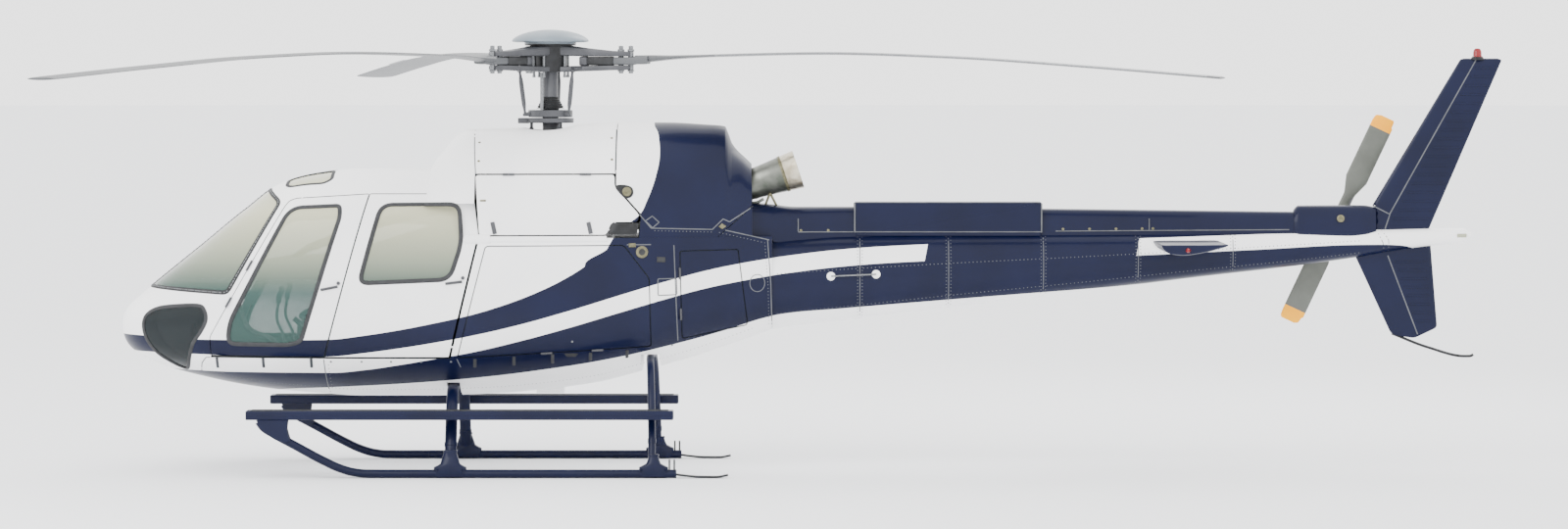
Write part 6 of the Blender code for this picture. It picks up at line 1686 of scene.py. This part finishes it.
# %% Padded shapes
def woven(name, dark, light, thread):
    """Plain weave: two sets of bands, each 0.314 / scale metres wide, as wide as a thread."""
    made, tree, shader, place = finish(name, Roughness=0.85, Sheen_Weight=0.25)
    bands = [node(tree, "ShaderNodeTexWave", {"bands_direction": way, "Scale": 0.314 / thread,
                                              "Distortion": 0.6}, {"Vector": place}).outputs["Fac"]
             for way in ("X", "Y")]
    both = node(tree, "ShaderNodeMath", {"operation": "MULTIPLY"}, {0: bands[0], 1: bands[1]}).outputs[0]
    tree.links.new(two_tone(tree, both, dark, light, 0.1, 0.7), shader.inputs["Base Color"])
    bump(tree, shader, both, 0.5, 0.0008)
    return made


# wool-blend seat cloth; its 2 mm threads are drawn 6 mm wide so that they show
seat_cloth = woven("woven_seat_cloth", "#3A4450", "#59636E", 0.006)
floor_mat = woven("woven_floor_mat", "#23272B", "#33383D", 0.01)


def pad_shape(a, b, c, channels=()):
    """Points and faces of a pad of half sizes a, b, c: |x/a|^5 + |y/b|^5 + |z/c|^2.4 = 1, then simulated."""
    lat, lon = np.linspace(-np.pi / 2, np.pi / 2, 26)[:, None], full_turn(64)
    keep = np.abs(np.cos(lat)) ** (2 / 2.4)
    c1, s1 = superellipse(lon, 5.0)
    rows = np.stack([a * keep * c1, b * keep * s1, c * np.sign(np.sin(lat))
                     * np.abs(np.sin(lat)) ** (2 / 2.4) * np.ones_like(lon)], -1)
    rows[0, :, :2] *= 0.0
    rows[0, :, :2] += rows[1, :, :2] * 0.02
    rows[-1, :, :2] = rows[-2, :, :2] * 0.02
    pad = loft("pad", rows)
    start = rows.reshape(-1, 3)
    mesh = pad.modifiers.new("voxels", "REMESH")
    mesh.mode, mesh.voxel_size = "VOXEL", 0.012
    pad = applied(pad)
    start = points_of(pad)
    cloth = pad.modifiers.new("cloth", "CLOTH")
    cloth.settings.use_pressure, cloth.settings.uniform_pressure_force = True, 4.0
    cloth.settings.effector_weights.gravity = 0.0
    for step in range(1, 21):
        bpy.context.scene.frame_set(step)
    pad = applied(pad)
    bpy.context.scene.frame_set(1)
    points = points_of(pad)
    if len(points) == len(start):
        move = points - start
        far = np.linalg.norm(move, axis=1)[:, None]
        points = start + move * np.minimum(1.0, 0.012 / np.maximum(far, 1e-9))
    for axis, at, depth in channels:
        dent = np.exp(-((points[:, axis] - at) / 0.01) ** 2) * depth
        points[:, 2] -= dent * np.sign(points[:, 2]) * (points[:, 2] > 0)
    faces = [list(face.vertices) for face in pad.data.polygons]
    bpy.data.objects.remove(pad)
    return points, faces


def applied(piece):
    """The piece with its modifiers made part of its mesh."""
    graph = bpy.context.evaluated_depsgraph_get()
    mesh = bpy.data.meshes.new_from_object(piece.evaluated_get(graph))
    piece.modifiers.clear()
    piece.data = mesh
    return piece


def points_of(piece):
    """The mesh's points as an array."""
    spots = np.empty(len(piece.data.vertices) * 3)
    piece.data.vertices.foreach_get("co", spots)
    return spots.reshape(-1, 3)


def place_pad(name, shape, centre, lean, replaced=()):
    """A pad turned back by an angle about Y, moved to its place, made smooth and worn."""
    points, faces = shape
    c, s = math.cos(lean), math.sin(lean)
    moved = points @ np.array(((c, 0, -s), (0, 1, 0), (s, 0, c))).T + centre + LIFT
    pad = outward(make_mesh(name, moved, faces, 180.0))
    smooth = pad.modifiers.new("smooth", "SUBSURF")
    smooth.levels = smooth.render_levels = 1
    wear(pad, seat_cloth, replaced)
    return pad


# %% Seats and bench
seat_pad = pad_shape(0.225, 0.225, 0.052, ((0, -0.09, 0.01), (0, 0.05, 0.01), (1, -0.15, 0.008),
                                           (1, 0.15, 0.008)))
back_pad = pad_shape(0.3, 0.215, 0.045, ((0, -0.12, 0.01), (0, 0.02, 0.01), (0, 0.16, 0.01)))
head_pad = pad_shape(0.07, 0.12, 0.035)
bench_pad = pad_shape(0.165, 0.31, 0.052, ((1, -0.02, 0.012), (0, 0.05, 0.008)))
rest_pad = pad_shape(0.285, 0.15, 0.038, ((0, -0.1, 0.008), (0, 0.06, 0.008)))
UPRIGHT = math.radians(80.0)
for side, hand, board in SIDES:
    y = side * 0.38
    place_pad("seat_pad_" + hand, seat_pad, (-1.745, y, 1.232), 0.0, ["front_seat_" + hand])
    place_pad("back_pad_" + hand, back_pad, (-1.535, y, 1.56), UPRIGHT)
    place_pad("head_pad_" + hand, head_pad, (-1.47, y, 1.885), UPRIGHT)
    parts = [slab(box_outline(-0.235, 0.235, 0.925, 1.185, 0.03), -1.96, -1.53, (0, y, GROUND), (0, 1, 0),
                  (0, 0, 1), 0.012)]
    frame_side = smooth_loop(((-1.6, 1.2), (-1.52, 1.3), (-1.475, 1.6), (-1.425, 1.94), (-1.395, 1.94),
                              (-1.43, 1.55), (-1.48, 1.2)), 6)
    parts.append(slab(frame_side, -0.22, 0.22, (0, y, GROUND), edge=0.006))
    fit("seat_tub_" + hand, parts, dark_plastic)
    place_pad("bench_pad_" + hand, bench_pad, (-1.075, side * 0.33, 1.205), 0.0,
              ["rear_bench"] if side < 0 else ())
    for k, across in enumerate((0.17, 0.49)):
        place_pad("rest_pad_%s_%d" % (hand, k), rest_pad, (-0.89, side * across, 1.545), UPRIGHT)
    # lap straps, and shoulder straps over the back
    belts = []
    for shift in (-0.09, 0.09):
        path = smooth_loop(((-1.62, 1.29), (-1.585, 1.45), (-1.555, 1.62), (-1.525, 1.8), (-1.49, 1.92)),
                           5)[:20]
        path = points_at(path[:, 0] - 0.012, y + shift, path[:, 1])
        belts.append(carried(path, np.tile((-1.0, 0.0, 0.12), (len(path), 1)), flat_section(0.046, 0.002)))
    v = np.linspace(-1.4, 1.4, 20)
    lap = points_at(-1.66 - 0.02 * np.cos(v), y + 0.22 * np.sin(v), 1.3 + 0.012 * np.cos(v))
    belts.append(carried(lap, np.tile((0.0, 0.0, 1.0), (20, 1)), flat_section(0.046, 0.003)))
    fit("seat_belts_" + hand, belts, belt_web)
    buckle = slab(box_outline(-0.032, 0.032, -0.028, 0.028, 0.008), 0.0, 0.014, (-1.685, y, 1.316 + GROUND),
                  (1, 0, 0), (0, 1, 0), 0.003)
    fit("belt_buckle_" + hand, [buckle], zinc)
tub = slab(box_outline(-0.64, 0.64, 0.925, 1.155, 0.03), -1.23, -0.87, LIFT, (0, 1, 0), (0, 0, 1), 0.012)
fit("bench_tub", [tub], dark_plastic)

# %% Floor, console, sticks and pedals
mat = slab(box_outline(-2.62, -0.9, -0.7, 0.7, 0.08), 0.9135, 0.919, LIFT, (1, 0, 0), (0, 1, 0), 0.002)
fit("cabin_mat", [mat], floor_mat)
profile = smooth_loop(((-2.6, 0.914), (-2.74, 1.1), (-2.7, 1.34), (-2.6, 1.4), (-2.5, 1.35), (-2.4, 1.12),
                       (-2.22, 1.03), (-2.18, 0.914)), 6)
panel = slab(profile, -0.19, 0.19, edge=0.015)
fit("console_shroud", [panel], dark_plastic, ["instrument_console"])
facing, down = np.array((0.916, 0.0, 0.4)), np.array((0.4, 0.0, -0.916))
dials, bezels = [], []
for row in range(3):
    for y in (-0.115, 0.0, 0.115):
        spot = np.array((-2.497, y, 1.305 + GROUND)) + down * 0.075 * row + facing * 0.004
        bezels.append(turned(((0.033, -0.01), (0.033, 0.004), (0.028, 0.007), (0.026, 0.003)), spot, facing,
                             24))
        dials.append(turned(((0.026, -0.004), (0.026, 0.0045), (0.004, 0.0048)), spot, facing, 24))
fit("dial_bezels", bezels, black_anodised)
fit("dial_faces", dials, dome_paint)
controls, grips = [], []
for side in (-1, 1):
    y = side * 0.38
    path = curve_through(((-2.06, y, 0.92), (-2.08, y, 1.05), (-2.14, y, 1.22), (-2.12, y, 1.36)), 20) + LIFT
    controls.append(oval_along(path, (0, 1, 0), 0.012, 0.012, 12))
    path = curve_through(((-2.125, y, 1.33), (-2.12, y, 1.38), (-2.1, y, 1.43), (-2.105, y, 1.46)), 12)
    grips.append(oval_along(path + LIFT, (0, 1, 0), 0.02, 0.022, 16, 2.6))
    path = curve_through(((-1.62, y - 0.29, 0.96), (-1.8, y - 0.29, 1.08), (-1.98, y - 0.29, 1.22)), 14)
    controls.append(oval_along(path + LIFT, (0, 1, 0), 0.013, 0.013, 12))
    grips.append(oval_along(path[-4:] + LIFT, (0, 1, 0), 0.022, 0.022, 16))
    for shift in (-0.1, 0.1):
        path = curve_through(((-2.66, y + shift, 0.93), (-2.76, y + shift, 1.02), (-2.8, y + shift, 1.13)),
                             14)
        controls.append(oval_along(path + LIFT, (0, 1, 0), 0.01, 0.01, 10))
        grips.append(slab(box_outline(-0.05, 0.05, 1.07, 1.17, 0.012), -2.8, -2.788, (0, y + shift, GROUND),
                          (0, 1, 0), (0, 0, 1), 0.002))
fit("control_sticks", controls, zinc)
fit("control_grips", grips, black_rubber)
print("cabin made")

# %% [markdown]
# ## Solids that stay as they are
# The engine and the main gearbox keep their plain solids under the cowlings, with a real finish.

# %% Engine and gearbox
for name, look in (("engine", hot_steel), ("main_gearbox", hub_paint)):
    solid = frame["nodes"][name]
    solid.data.materials.clear()
    solid.data.materials.append(look)

# %% [markdown]
# ## Floor and light
# A plain pale floor that fades into the same white as the sky, and soft light from above the nose.


# %% Floor, sky and lamps
SKY = 2.7
world = bpy.data.worlds.new("soft_studio")
bpy.context.scene.world = world
world.use_nodes = True
backdrop = world.node_tree.nodes["Background"]
backdrop.inputs["Color"].default_value = (1.0, 1.0, 1.0, 1.0)
backdrop.inputs["Strength"].default_value = SKY
radius = np.concatenate([[0.02], np.geomspace(0.5, 400.0, 40)])[:, None]
angle = full_turn(96)[None, :]
disc = points_at(radius * np.cos(angle) + 1.85, radius * np.sin(angle), -0.001)
disc = np.concatenate([disc, disc[-1:] - (0, 0, 0.5)])
floor = loft("studio_floor", disc)
floor_paint, tree, shader, place = finish("matt_floor_paint", Roughness=0.9, Specular_IOR_Level=0.1)
shader.inputs["Base Color"].default_value = hex_colour("#F4F5F7")
floor.data.materials.append(floor_paint)


def area_light(name, place, target, size, power):
    """A square area lamp aimed at a target."""
    lamp = bpy.data.objects.new(name, bpy.data.lights.new(name, "AREA"))
    lamp.data.size, lamp.data.energy = size, power
    bpy.context.scene.collection.objects.link(lamp)
    lamp.location = place
    lamp.rotation_euler = (Vector(target) - Vector(place)).to_track_quat("-Z", "Y").to_euler()


area_light("key", (-7.0, -12.0, 11.0), (1.5, 0.0, 1.0), 9.0, 1500.0)
area_light("rim", (6.0, 9.0, 9.0), (1.5, 0.0, 1.0), 7.0, 500.0)
print("stage made")
